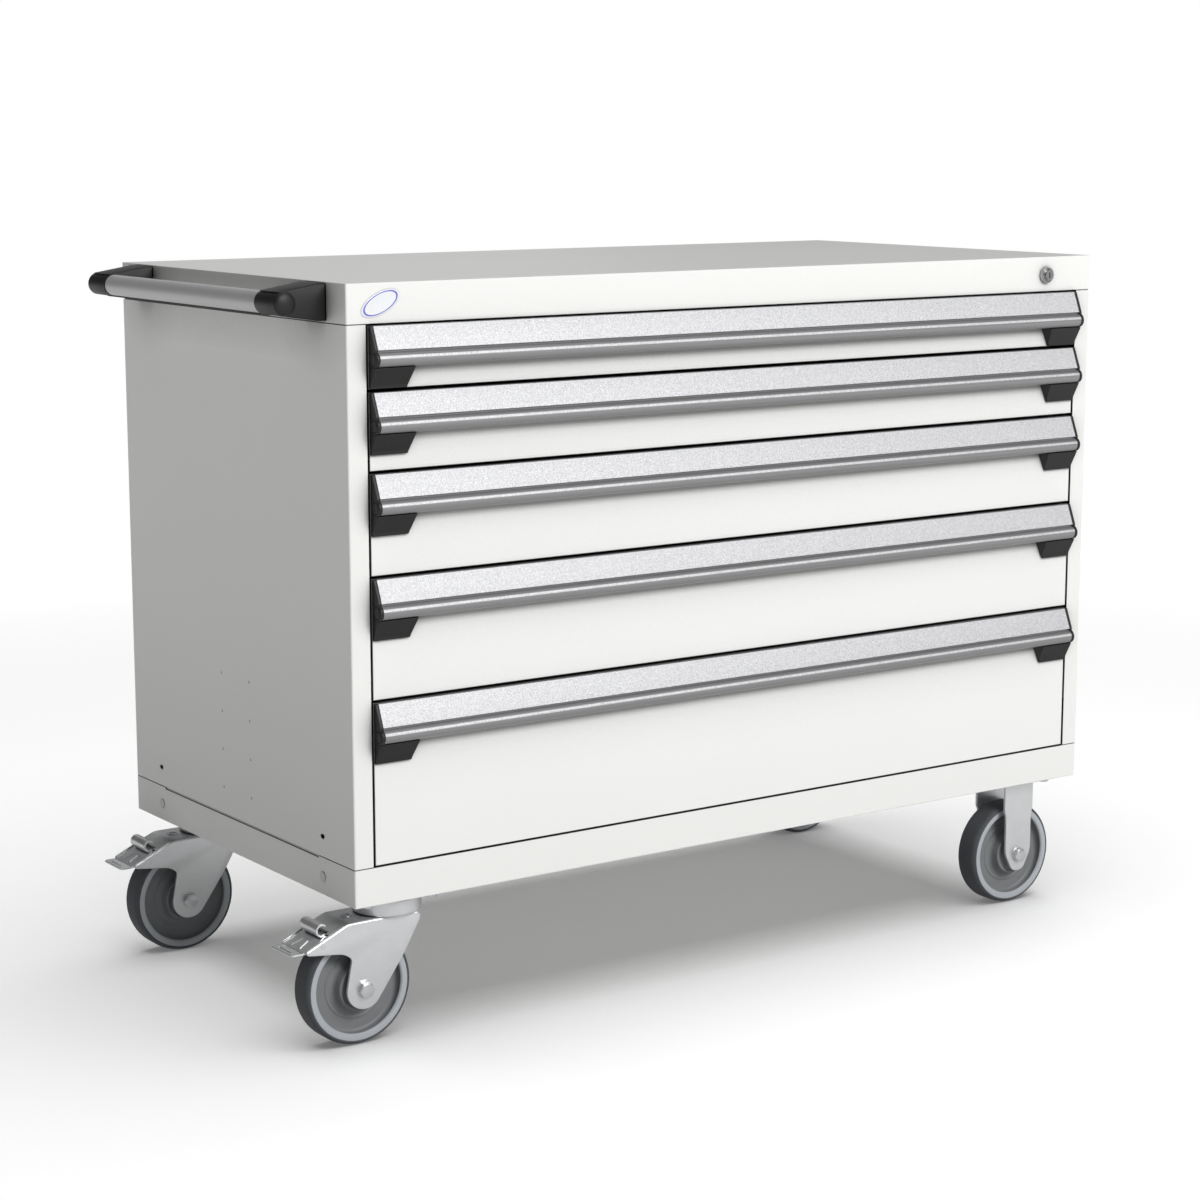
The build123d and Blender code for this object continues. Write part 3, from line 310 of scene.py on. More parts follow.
# ---------------------------------------------------------------- drawer handles
# One aluminium extrusion across each drawer: a sloping label face, a narrow groove and a round
# nose that is open behind for the fingers. The label face is bead blasted and the nose is brushed.
def rounded(corners, radii, steps=5):
    """A closed outline with soft corners: each corner gives way to a parabola that touches its
    two sides at the corner's radius from it. Corners of radius 0 stay sharp."""
    corners = np.array(corners, float)
    radii = np.broadcast_to(np.array(radii, float), len(corners))[:, None, None]
    back = np.roll(corners, 1, 0) - corners
    ahead = np.roll(corners, -1, 0) - corners
    back /= np.linalg.norm(back, axis=1, keepdims=True)
    ahead /= np.linalg.norm(ahead, axis=1, keepdims=True)
    t = np.linspace(0, 1, steps)[None, :, None]
    curve = corners[:, None] + radii * ((1 - t) ** 2 * back[:, None] + t**2 * ahead[:, None])
    curve = curve.reshape(-1, 2)
    apart = np.linalg.norm(curve - np.roll(curve, 1, 0), axis=1) > 1e-6
    return curve[apart]


def arc(centre, radius, start, end, count):
    """Points on a circle between two angles in degrees."""
    angle = np.radians(np.linspace(start, end, count))
    return np.column_stack([centre[0] + radius * np.cos(angle), centre[1] + radius * np.sin(angle)])


def grid_faces(rows, columns, closed_rows=False):
    """The quads of a grid numbered row by row. Columns always close on themselves."""
    row, column = np.meshgrid(
        np.arange(rows if closed_rows else rows - 1), np.arange(columns), indexing="ij"
    )
    next_row, next_column = (row + 1) % rows, (column + 1) % columns
    corners = [
        row * columns + column,
        row * columns + next_column,
        next_row * columns + next_column,
        next_row * columns + column,
    ]
    return np.stack(corners, -1).reshape(-1, 4)


def stacked(loops):
    """A solid skinned over a stack of closed loops of equal count, with a flat at each end."""
    rows, columns = loops.shape[:2]
    faces = grid_faces(rows, columns).tolist()
    faces += [list(range(columns)), list(range((rows - 1) * columns, rows * columns))]
    return loops.reshape(-1, 3), faces


def square_to(axis):
    """An axis as an array, and two directions square to it and to each other."""
    axis = np.array(axis, float)
    aside = np.cross(axis, (0, 0, 1.0) if abs(axis[2]) < 0.5 else (1.0, 0, 0))
    aside /= np.linalg.norm(aside)
    return axis, aside, np.cross(aside, axis)


def turned(profile, centre, axis=(0, 1, 0), sides=96, closed=True):
    """A solid of revolution. The profile gives (radius, distance along the axis). It is a closed
    section, or an open one that starts and ends on the axis."""
    axis, aside, across = square_to(axis)
    angle = np.linspace(0, 2 * np.pi, sides, endpoint=False)
    ring = np.cos(angle)[:, None] * across + np.sin(angle)[:, None] * aside
    profile = np.array(profile, float)
    radius, along = profile[:, 0, None, None], profile[:, 1, None, None]
    points = np.array(centre) + radius * ring + along * axis
    return points.reshape(-1, 3), grid_faces(len(profile), sides, closed).tolist()


def piece(name, body, slot, material, *shells, crease=32):
    """Makes one mesh object of closed shells, each a pair of points and faces, that rides on a
    body. Doubled points at poles are merged and the faces turned outward. Edges that turn by
    more than the crease angle stay crisp."""
    mesh = bpy.data.meshes.new(name)
    counts = np.cumsum([0] + [len(points) for points, _ in shells])
    points = np.concatenate([points for points, _ in shells])
    faces = [[i + start for i in face] for (_, shell), start in zip(shells, counts) for face in shell]
    mesh.from_pydata(points.tolist(), [], faces)
    work = bmesh.new()
    work.from_mesh(mesh)
    bmesh.ops.remove_doubles(work, verts=work.verts, dist=1e-7)
    bmesh.ops.recalc_face_normals(work, faces=work.faces)
    work.to_mesh(mesh)
    work.free()
    mesh.shade_smooth()
    mesh.set_sharp_from_angle(angle=radians(crease))
    mesh.materials.append(material)
    made = bpy.data.objects.new(name, mesh)
    bpy.context.scene.collection.objects.link(made)
    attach(made, body)
    return made


label_height = 28.5 * mm
label_reach = 15.5 * mm
label_top_reach = 4.0 * mm
groove_height = 2.3 * mm
groove_depth = 3.0 * mm
nose_radius = 9.0 * mm
nose_wall = 2.5 * mm
nose_reach = 20.5 * mm
back_plate = 2.0 * mm
back_plate_height = 46.0 * mm
ledge_drop = label_height + groove_height
nose_drop = ledge_drop + nose_radius
nose_forward = nose_reach - nose_radius

nose_at = (nose_forward, -nose_drop)
nose_start = 90 - np.degrees(np.arcsin((label_reach - groove_depth - nose_forward) / nose_radius))
nose_outside = arc(nose_at, nose_radius, nose_start, -90, 22)
nose_inside = arc(nose_at, nose_radius - nose_wall, -90, nose_start, 16)
label_corners = [
    (0, 0),
    (label_top_reach, 0),
    (label_reach, -label_height),
    (label_reach - groove_depth, -label_height - groove_height / 3),
]
back_corners = [
    (back_plate, -ledge_drop - nose_wall),
    (back_plate, -back_plate_height),
    (0, -back_plate_height),
]
handle_corners = [*label_corners, *nose_outside, *nose_inside, *back_corners]
nose_radii = [0] * (len(nose_outside) + len(nose_inside))
handle_radii = [0, 0.8 * mm, 0.5 * mm, 0.4 * mm, *nose_radii, 1.0 * mm, 0.3 * mm, 0.3 * mm]
handle_section = rounded(handle_corners, handle_radii)


def across_drawer(section, start, end, face, top):
    """Carries a section of (forward, up) from start to end along X, measured from a drawer
    front's face and from the handle's top."""
    stations = np.array([start, end])[:, None]
    forward, up = section[:, 0], section[:, 1]
    return np.stack(np.broadcast_arrays(stations, face - forward, top + up), -1)


blasted, blasted_shader, at = finish("blasted_aluminium", 0.5, 0.55, Specular_IOR_Level=0.5)
label_tilt = np.arctan2(label_reach - label_top_reach, label_height)
label_outward = (0, -np.cos(label_tilt), np.sin(label_tilt))
facing_label = alike(at, at.node("NewGeometry", output="Normal"), label_outward)
label_mask = ramp(at, [(0.975, 0), (0.99, 1)], facing_label)
specks = noise(at, 820, 2, 0.7)
draw_lines = noise(stretched(at, (2, 1400, 1400)), 1.0, 2)
speckled = ramp(at, [(0.35, 0), (0.65, 1)], specks)
label_tone = blend(at, speckled, (0.42, 0.42, 0.43, 1), (0.78, 0.78, 0.80, 1))
nose_tone = blend(at, draw_lines, (0.26, 0.26, 0.265, 1), (0.34, 0.34, 0.345, 1))
at.feed(blasted_shader.inputs["Base Color"], blend(at, label_mask, nose_tone, label_tone))
blasted_rough = 0.40 + 0.08 * draw_lines + label_mask * (0.08 + 0.12 * specks)
at.feed(blasted_shader.inputs["Roughness"], blasted_rough)
relief = label_mask * specks + (1 - label_mask) * draw_lines * 0.25
at.feed(blasted_shader.inputs["Normal"], bumps(at, 0.35, 0.12 * mm, relief))

for n in drawers:
    low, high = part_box(f"drawer_{n}_handle")
    loops = across_drawer(handle_section, low[0], high[0], high[1], high[2])
    handle = piece(f"handle_{n}", f"drawer_{n}", "handle_aluminium", blasted, stacked(loops))
    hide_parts(f"drawer_{n}_handle")

# ---------------------------------------------------------------- handle end caps
# Black moulded end caps, one pair to each handle. A plate closes the extrusion's end, a round boss
# marks its nose, and a tapered gusset below stands against the drawer front.
def inset(outline, distance):
    """Moves each point of a closed outline inwards along the bisector of its two sides, so that
    every side shifts by the distance."""
    before = outline - np.roll(outline, 1, 0)
    after = np.roll(outline, -1, 0) - outline
    before /= np.linalg.norm(before, axis=1, keepdims=True)
    after /= np.linalg.norm(after, axis=1, keepdims=True)
    x, y = outline.T
    area = np.sum(x * np.roll(y, -1) - y * np.roll(x, -1))
    left = np.sign(area) * np.column_stack([-before[:, 1], before[:, 0]])
    right = np.sign(area) * np.column_stack([-after[:, 1], after[:, 0]])
    agreement = np.sum(left * right, axis=1, keepdims=True)
    return outline + distance * (left + right) / (1 + agreement)


def plate(outline, start, end, rim, place, steps=4, far_rim=None):
    """A flat plate: an outline carried from start to end, with quarter-round rims. A rim is one
    radius, or one for each point of the outline. place turns (outline's two coordinates,
    distance along) into a point."""
    quarter = np.linspace(0, np.pi / 2, steps)[:, None]
    near = np.broadcast_to(rim, len(outline))
    far = near if far_rim is None else np.broadcast_to(far_rim, len(outline))
    shrink = np.concatenate([near * (1 - np.sin(quarter)), (far * (1 - np.sin(quarter)))[::-1]])
    toward = np.sign(end - start)
    sink = 1 - np.cos(quarter)
    rise = np.concatenate([start + toward * near * sink, (end - toward * far * sink)[::-1]])
    loops = [
        np.column_stack([inset(outline, less[:, None]), level])
        for less, level in zip(shrink, rise)
    ]
    return stacked(place(np.stack(loops)))


def moulded(name, colour, light, rough, grain):
    """Moulded plastic: a near-even tone, a fine spark-eroded grain and paler rubbed edges."""
    material, shader, at = finish(name, rough, Specular_IOR_Level=0.4)
    edge, edge_normal = worn_edges(at, 0.5 * mm)
    tone = blend(at, noise(at, 25, 4), (*colour, 1), (*light, 1))
    pale = (*[min(1.0, 0.02 + c * 1.7) for c in light], 1)
    rubbed = blend(at, edge * 0.7, tone, pale)
    at.feed(shader.inputs["Base Color"], rubbed)
    at.feed(shader.inputs["Roughness"], rough - 0.06 + 0.14 * noise(at, 60, 3))
    fine_grain = bumps(at, 0.3, 0.06 * mm, noise(at, grain, 2), edge_normal)
    at.feed(shader.inputs["Normal"], fine_grain)
    return material


black_plastic = moulded("black_plastic", (0.009, 0.009, 0.0095), (0.015, 0.015, 0.0155), 0.48, 1500)
cap_proud = 0.8 * mm
cap_thickness = 4.5 * mm
gusset_length = 46.0 * mm
gusset_flare = 12.0 * mm
gusset_drop = 21.0 * mm
gusset_lip = 4.0 * mm
gusset_height = 75.0 * mm
cap_nose_radius = nose_radius + cap_proud
cap_foot = -nose_drop - cap_nose_radius
cap_corners = [(0, 0), (label_top_reach + cap_proud, 0), (label_reach + cap_proud, -label_height)]
cap_nose_arc = arc(nose_at, cap_nose_radius, 64, -90, 20)
cap_radii = [0.3 * mm, 1.0 * mm, 0.8 * mm, *[0] * len(cap_nose_arc), 0.3 * mm]
cap_section = rounded([*cap_corners, *cap_nose_arc, (0, cap_foot)], cap_radii)
gusset_corners = [
    (0, cap_foot),
    (label_reach, cap_foot),
    (gusset_lip, cap_foot - gusset_drop),
    (gusset_lip, -gusset_height),
    (0, -gusset_height),
]
gusset_section = rounded(gusset_corners, [0.3 * mm, 1.0 * mm, 2.0 * mm, 0.6 * mm, 0.3 * mm])
boss_rim = [(0, 0.8), (6.2, 0.8), (6.8, 0.5), (7.0, 0.0), (7.6, 0.0), (8.0, 0.55), (8.8, 0.3)]
boss_rim = mm * np.array([*boss_rim, (9.2, -1.0), (0, -1.0)])


def end_cap(side, outer, face, top):
    """One end cap's shells: the plate, the gusset, whose inner end slants outwards as it
    drops, and the boss."""
    def place(points):
        return np.stack([points[..., 2], face - points[..., 0], top + points[..., 1]], -1)

    cheek = plate(cap_section, outer, outer - side * cap_thickness, 0.5 * mm, place)
    inner = outer - side * (cap_thickness + gusset_length)
    forward, up = gusset_section[:, 0], gusset_section[:, 1]
    height_share = (up + gusset_height) / (cap_foot + gusset_height)
    slant = gusset_flare * height_share * (1 - 0.5 * forward / label_reach)
    small = inset(gusset_section, 0.5 * mm)
    rows = [
        (small, np.full(len(up), outer)),
        (gusset_section, np.full(len(up), outer - side * 0.5 * mm)),
        (gusset_section, inner - side * (slant - 0.5 * mm)),
        (small, inner - side * slant),
    ]
    gusset = stacked(place(np.stack([np.column_stack(row) for row in rows])))
    boss_at = (outer, face - nose_at[0], top + nose_at[1])
    boss = turned(boss_rim, boss_at, (side, 0, 0), 40, closed=False)
    return cheek, gusset, boss


for n in drawers:
    low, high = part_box(f"drawer_{n}_handle")
    shells = [
        shell
        for side, end in ((-1, low[0]), (1, high[0]))
        for shell in end_cap(side, end + side * cap_thickness, high[1], high[2])
    ]
    caps = piece(f"end_caps_{n}", f"drawer_{n}", "black_plastic", black_plastic, *shells)
    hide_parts(f"drawer_{n}_end_caps")

# ---------------------------------------------------------------- lock
# A key lock in the header: a satin chrome bezel turned in steps round a bright plug with its
# keyway. The plug's crank drops a steel bar behind the right flange, which hooks every drawer.
where = {
    joint["name"]: np.array(joint["pos_m"]) for joint in frame["joints"] if "pos_m" in joint
}
chrome, chrome_shader, at = finish("satin_chrome", 0.22, 1.0)
turning_marks = noise(at, 900, 3)
chrome_tone = blend(at, turning_marks, (0.34, 0.34, 0.35, 1), (0.50, 0.50, 0.51, 1))
at.feed(chrome_shader.inputs["Base Color"], chrome_tone)
at.feed(chrome_shader.inputs["Roughness"], 0.22 + 0.16 * turning_marks)
dress(chrome, "lock_plug")
low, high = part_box("lock_barrel")
front_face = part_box("top_cap")[0][1]
lock_at = np.array((where["lock_turn"][0], front_face, where["lock_turn"][2]))
barrel_back = high[1] - front_face
bezel_reach = front_face - low[1]
bezel_corners = [
    (7.5, -barrel_back / mm),
    (9.5, -barrel_back / mm),
    (9.5, 0),
    (11.5, 0),
    (11.4, 2.2),
    (10.6, bezel_reach / mm - 0.6),
    (10.2, bezel_reach / mm),
    (9.2, bezel_reach / mm),
    (8.9, bezel_reach / mm - 0.8),
    (8.3, bezel_reach / mm - 0.8),
    (8.0, bezel_reach / mm - 0.3),
    (7.5, bezel_reach / mm - 0.3),
]
bezel_radii = [0, 0, 0, 0.4, 0.5, 0.3, 0.2, 0.2, 0.1, 0.1, 0.1, 0]
bezel_section = mm * rounded(bezel_corners, bezel_radii, 4)
bezel_ring = turned(bezel_section, lock_at, (0, -1, 0), 72)
bezel = piece("lock_bezel", "cabinet", "lock_metal", chrome, bezel_ring)
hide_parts("lock_barrel")

# ---------------------------------------------------------------- badge plate
# A plain oval plate, pressed slightly domed, pale enamel with a fine blue line near its edge. It
# is stuck aslant to the header's left end and carries no marking.
badge_long, badge_short, badge_tilt = 28.5 * mm, 12.7 * mm, radians(25.0)
enamel, enamel_shader, at = finish("badge_enamel", 0.25, Coat_Weight=0.4)
low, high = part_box("badge_plate")
badge_middle, badge_depth = (low + high) / 2, high[1] - low[1]
onto_oval = {
    "Vector": at,
    "Location": tuple(badge_middle),
    "Rotation": (0, -badge_tilt, 0),
    "Scale": (badge_long, 1, badge_short),
}
level = at.node("Mapping", {"vector_type": "TEXTURE"}, onto_oval)
oval = at.node("VectorMath", {"operation": "MULTIPLY"}, {0: level, 1: (1, 0, 1)})
out_from_middle = at.node("VectorMath", {"operation": "LENGTH"}, {0: oval}, "Value")
line = ramp(at, [(0.80, 0), (0.83, 1), (0.89, 1), (0.92, 0)], out_from_middle)
enamel_tone = blend(at, noise(at, 300, 2), (0.80, 0.81, 0.84, 1), (0.86, 0.87, 0.89, 1))
at.feed(enamel_shader.inputs["Base Color"], blend(at, line, enamel_tone, (0.13, 0.14, 0.62, 1)))
at.feed(enamel_shader.inputs["Roughness"], 0.20 + 0.12 * noise(at, 120, 2))
rim_rings = [(1.0, 0.0), (1.0, 0.45), (0.975, 0.75), (0.94, 0.85), (0.90, 0.80)]
rings = np.array([*rim_rings, (0.7, 0.88), (0.4, 0.97), (0.0, 1.0)])
badge_sides = 96
badge_turn = np.linspace(0, 2 * np.pi, badge_sides, endpoint=False)
share, lift = rings[:, 0, None], rings[:, 1, None]
along, aside = badge_long * share * np.cos(badge_turn), badge_short * share * np.sin(badge_turn)
badge_loops = np.stack(
    np.broadcast_arrays(
        badge_middle[0] + along * np.cos(badge_tilt) - aside * np.sin(badge_tilt),
        high[1] - badge_depth * lift,
        badge_middle[2] + along * np.sin(badge_tilt) + aside * np.cos(badge_tilt),
    ),
    -1,
)
badge_faces = [*grid_faces(len(rings), badge_sides).tolist(), list(range(badge_sides))]
badge_shell = (badge_loops.reshape(-1, 3), badge_faces)
badge = piece("badge", "cabinet", "badge", enamel, badge_shell, crease=60)
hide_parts("badge_plate")

# ---------------------------------------------------------------- push handle
# A grey anodised tube between two black moulded brackets, each screwed to the cap's side from
# within. A dark strip is pressed into a groove along the tube's underside.
def oblong(left, bottom, right, top):
    """The four corners of an oblong."""
    return [(left, bottom), (right, bottom), (right, top), (left, top)]


dress(black_plastic, "push_strip")
low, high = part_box("push_tube")
tube_at = (low + high) / 2
tube_radius = (high[0] - low[0]) / 2
tube_wall, tube_half = 2.4 * mm, (high[1] - low[1]) / 2
tube_section = oblong(tube_radius - tube_wall, -tube_half, tube_radius, tube_half)
anodised, anodised_shader, at = finish("anodised_tube", 0.5, 0.25)
bands = noise(stretched(at, (260, 0.6, 260)), 1.0, 3)
drawn = noise(stretched(at, (1500, 4, 1500)), 1.0, 2)
grain = bands * 0.7 + drawn * 0.3
anodised_tone = blend(at, grain, (0.49, 0.49, 0.50, 1), (0.63, 0.63, 0.64, 1))
at.feed(anodised_shader.inputs["Base Color"], anodised_tone)
at.feed(anodised_shader.inputs["Roughness"], 0.46 + 0.14 * drawn)
at.feed(anodised_shader.inputs["Normal"], bumps(at, 0.2, 0.05 * mm, drawn))
tube = piece("push_tube_skin", "cabinet", "push_grey", anodised, turned(tube_section, tube_at))
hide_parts("push_tube")

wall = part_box("top_cap")[0][0]
bracket_half_height = 22.0 * mm
bracket_flat = 10.0 * mm
collar_radius = tube_radius + 1.0 * mm
reach = wall - tube_at[0]
lean = np.arctan2(bracket_half_height, reach - bracket_flat)
touch = lean + np.arccos(collar_radius / np.hypot(reach - bracket_flat, bracket_half_height))
collar_arc = arc((0, 0), collar_radius, np.degrees(touch), 360 - np.degrees(touch), 40)
bracket_corners = [
    (reach, -bracket_half_height),
    (reach, bracket_half_height),
    (reach - bracket_flat, bracket_half_height),
    *collar_arc,
    (reach - bracket_flat, -bracket_half_height),
]
bracket_radii = [0.2 * mm, 0.2 * mm, 3 * mm, *[0] * len(collar_arc), 3 * mm]
bracket_section = rounded(bracket_corners, bracket_radii)
low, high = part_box("push_brackets")
dome_height, dome_root = 6.0 * mm, 4.0 * mm
bracket_width = 50.0 * mm
lid_gauge, lid_overhang, lid_border = 0.9 * mm, 5.0 * mm, 3.0 * mm
dome_turn = np.linspace(0, np.pi / 2, 12)


def bracket(end, outer):
    """One bracket's shells: the tapered arm, the dome on its outer end, whose height is the
    cosine of an angle whose sine gives the radius, and a thin lid along its top."""
    def place(points):
        return np.stack([tube_at[0] + points[..., 0], points[..., 2], tube_at[2] + points[..., 1]], -1)

    foot = outer - end * dome_height
    arm = plate(bracket_section, foot - end * bracket_width, foot, 1.6 * mm, place, 5)
    dome_curve = np.column_stack([collar_radius * np.sin(dome_turn), dome_height * np.cos(dome_turn)])
    dome_section = [(0, -dome_root), (collar_radius, -dome_root), *dome_curve[::-1]]
    dome = turned(dome_section, (tube_at[0], foot, tube_at[2]), (0, end, 0), 72, closed=False)
    lid_start = np.array((reach, bracket_half_height))
    knee = lid_start - (bracket_flat, 0)
    touching = collar_radius * np.array((np.cos(touch), np.sin(touch)))
    slope_out = (touching - knee) / np.linalg.norm(touching - knee)
    lid_end = touching + slope_out * lid_overhang
    lift = lid_gauge * np.array((slope_out[1], -slope_out[0])) * np.sign(-slope_out[0])
    up = np.array((0, lid_gauge))
    lid_corners = [lid_start, knee, lid_end, lid_end + lift, knee + up, lid_start + up]
    lid_outline = rounded(lid_corners, [0, 2 * mm, 0.3 * mm, 0.5 * mm, 2 * mm, 0], 4)
    lid_near, lid_far = foot - end * (bracket_width - lid_border), foot - end * lid_border
    lid = plate(lid_outline, lid_near, lid_far, 0.3 * mm, place)
    return arm, dome, lid


brackets = [*bracket(-1, low[1]), *bracket(1, high[1])]
push_brackets = piece("push_bracket_pair", "cabinet", "black_plastic", black_plastic, *brackets)
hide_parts("push_brackets")

# ---------------------------------------------------------------- caster plates and bolts
# Each caster hangs from a bright zinc-plated top plate on four hexagon bolts through the base. A
# swivel caster's plate also carries the upper ball race and the kingpin with its nut.
bright_zinc = zinc("bright_zinc", (0.88, 0.89, 0.90), (0.76, 0.77, 0.78), 0.34, (60, 60, 500))
bolt_zinc = zinc("bolt_zinc", (0.80, 0.81, 0.82), (0.66, 0.67, 0.69), 0.30, (300, 300, 300))
dress(bolt_zinc, "push_screws")
places = ("front", "rear")
plate_length, plate_width, plate_gauge, plate_corner = 114.3 * mm, 101.6 * mm, 4.0 * mm, 8.0 * mm
plate_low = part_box("base_frame")[0][2] - plate_gauge
plate_corners = oblong(-plate_length / 2, -plate_width / 2, plate_length / 2, plate_width / 2)
plate_outline = rounded(plate_corners, plate_corner, 7)


def top_plate(x, y):
    """A caster's flat mounting plate with rounded corners, centred on (x, y)."""
    def place(points):
        return points + np.array((x, y, 0))

    return plate(plate_outline, plate_low, plate_low + plate_gauge, 0.4 * mm, place)


def hexagon_head(centre, axis, flats, height, washer=0.0, sides=48):
    """A hexagon head or nut: each ring's radius is the hexagon's, half the flats over the
    cosine of the angle from the nearest flat, and a 30 degree cone takes its corners off."""
    axis, aside, across = square_to(axis)
    angle = np.linspace(0, 2 * np.pi, sides, endpoint=False)
    from_flat = (angle + np.pi / 6) % (np.pi / 3) - np.pi / 6
    hexagon = flats / 2 / np.cos(from_flat)
    face_radius = np.full(sides, 0.475 * flats)
    cone = height - (hexagon - face_radius) * np.tan(np.pi / 6)
    washer_radius = np.full(sides, 0.62 * flats)
    rings = [
        (washer_radius, np.zeros(sides)),
        (washer_radius, np.full(sides, washer)),
        (hexagon, np.full(sides, washer)),
        (hexagon, cone),
        (face_radius, np.full(sides, height)),
    ]
    rings = rings if washer else rings[2:]
    outward = np.cos(angle)[:, None] * across + np.sin(angle)[:, None] * aside
    loops = [centre + radius[:, None] * outward + along[:, None] * axis for radius, along in rings]
    return stacked(np.stack(loops))


def post(start, axis, radius, length, chamfer=0.5 * mm, sides=40):
    """A round bar with chamfered ends."""
    start_rim = [(0, 0), (radius - chamfer, 0), (radius, chamfer)]
    end_rim = [(radius, length - chamfer), (radius - chamfer, length), (0, length)]
    section = start_rim + end_rim
    return turned(section, start, axis, sides, closed=False)


swivel_at = {place: where[f"{place}_caster_swivel"] for place in places}
rigid_at = {place: where[f"{place}_rigid_wheel_spin"] for place in places}
bolt_spacing_x, bolt_spacing_y = 92.1 * mm, 66.7 * mm
bolt_radius, bolt_flats, bolt_head, nut_height = 4.8 * mm, 14.3 * mm, 6.0 * mm, 5.7 * mm
nut_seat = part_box("caster_doublers")[1][2]
bolts = []
for x, y, _ in [*swivel_at.values(), *rigid_at.values()]:
    for a in (-0.5, 0.5):
        for b in (-0.5, 0.5):
            spot = np.array((x + a * bolt_spacing_x, y + b * bolt_spacing_y, plate_low))
            seat = np.array((spot[0], spot[1], nut_seat))
            bolts.append(hexagon_head(spot, (0, 0, -1), bolt_flats, bolt_head))
            shank = nut_seat - plate_low + bolt_head
            bolts.append(post(spot, (0, 0, 1), bolt_radius, shank, sides=20))
            bolts.append(hexagon_head(seat, (0, 0, 1), bolt_flats, nut_height))
bolt_set = piece("caster_bolt_set", "cabinet", "fastener_zinc", bolt_zinc, *bolts)
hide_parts("caster_bolts")

race_outer, race_inner, race_low = 39.5 * mm, 30.0 * mm, 171.0 * mm
kingpin_radius, kingpin_nut_flats, kingpin_nut_height = 8.0 * mm, 21.6 * mm, 8.0 * mm
nut_top = 159.0 * mm
race_corners = oblong(race_inner, 0, race_outer, plate_low - race_low)
race_section = rounded(race_corners, 1.5 * mm, 4)
heads = []
for x, y, _ in swivel_at.values():
    heads.append(top_plate(x, y))
    heads.append(turned(race_section, (x, y, plate_low), (0, 0, -1), 80))
    heads.append(post((x, y, plate_low), (0, 0, -1), kingpin_radius, plate_low - nut_top))
    nut_at = np.array((x, y, nut_top))
    heads.append(hexagon_head(nut_at, (0, 0, -1), kingpin_nut_flats, kingpin_nut_height))
top_plates = piece("swivel_top_plates", "cabinet", "caster_zinc", bright_zinc, *heads)
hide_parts("swivel_plates")


# ---------------------------------------------------------------- rigid casters
# A rigid caster's fork is a zinc-plated plate with two pressed legs welded under it, a little
# narrower below the waist, joined by a flat bridge with folded edges.
def carried(section, path):
    """Carries a closed section of (across along Y, out along the path's normal) along a path in
    (x, z). The normal is the path's direction turned a quarter to the left."""
    path = np.array(path, float)
    direction = np.gradient(path, axis=0)
    direction /= np.linalg.norm(direction, axis=1, keepdims=True)
    normal = np.column_stack([-direction[:, 1], direction[:, 0]])
    across, out = section[:, 0], section[:, 1]
    x = path[:, 0, None] + normal[:, 0, None] * out
    z = path[:, 1, None] + normal[:, 1, None] * out
    return stacked(np.stack([x, np.broadcast_to(across, x.shape), z], -1))


def flat_strip(half, gauge):
    """The section of a flat pressed strip with eased edges. Out is up."""
    return rounded(oblong(-half, -gauge, half, 0), [0.4 * mm, 0.4 * mm, 0.9 * mm, 0.9 * mm], 5)


def side_plates(outline, axle, half, gauge, rim=0.6 * mm):
    """Two pressed plates of one outline in (x, z) about the axle, one each side of a wheel. The
    rim is the rounding of their outer edges."""
    def place(points):
        return axle + points[..., [0, 2, 1]]

    near, far = half, half - gauge
    return [plate(outline, side * near, side * far, rim, place, 6, 0.4 * mm) for side in (-1, 1)]


fork_half, fork_gauge, axle_height = 32.0 * mm, 4.0 * mm, 75.0 * mm
leg_top = plate_low - axle_height
leg_half, waist_half, tip_half = 27.5 * mm, 24.5 * mm, 10.0 * mm
waist_up, taper_up, tip_low = 65.0 * mm, 4.0 * mm, -24.0 * mm
right_side = [
    (leg_half, leg_top),
    (leg_half, waist_up),
    (waist_half, waist_up - 3 * mm),
    (waist_half, taper_up),
    (tip_half, tip_low),
]
left_side = [(-x, z) for x, z in right_side[::-1]]
side_radii = [0.2 * mm, 4 * mm, 4 * mm, 8 * mm, 9 * mm]
leg_outline = rounded(right_side + left_side, side_radii + side_radii[::-1], 6)
bridge_section = flat_strip(fork_half - 0.5 * mm, fork_gauge)
rigid_shells = []
for axle in rigid_at.values():
    rigid_shells.append(top_plate(axle[0], axle[1]))
    rigid_shells += side_plates(leg_outline, axle, fork_half, fork_gauge)
    bridge_path = [(axle[0] - leg_half, plate_low), (axle[0] + leg_half, plate_low)]
    bridge_points, bridge_faces = carried(bridge_section, bridge_path)
    rigid_shells.append((bridge_points + (0, axle[1], 0), bridge_faces))
rigid_forks = piece("rigid_fork_pair", "cabinet", "caster_zinc", bright_zinc, *rigid_shells)
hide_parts("rigid_forks")


# ---------------------------------------------------------------- swivel forks
# A swivel caster's fork is pressed from one zinc-plated sheet: long brows either side of a short
# sloping hood, and legs that carry the axle behind the swivel. The ball cup is welded on top.
fork_top = 164.0 * mm
head_radius, head_wall, head_floor = 44.0 * mm, 2.5 * mm, 6.0 * mm
cup_bore, cup_gap = 8.1 * mm, 2.0 * mm
top_up = fork_top - axle_height
slope_run, slope_drop, break_x, back_x = 61.4 * mm, 27.4 * mm, -22.5 * mm, 80.8 * mm
tip_x, tip_up = break_x - slope_run, top_up - slope_drop
hood_stop_x = -43.5 * mm
leg_round = 25.0 * mm


def tangent(point, turn):
    """Where a line from a point touches the leg's round end; turn is +1 or -1."""
    angle = np.arctan2(point[1], point[0]) + turn * np.arccos(leg_round / np.hypot(*point))
    return np.degrees(angle)


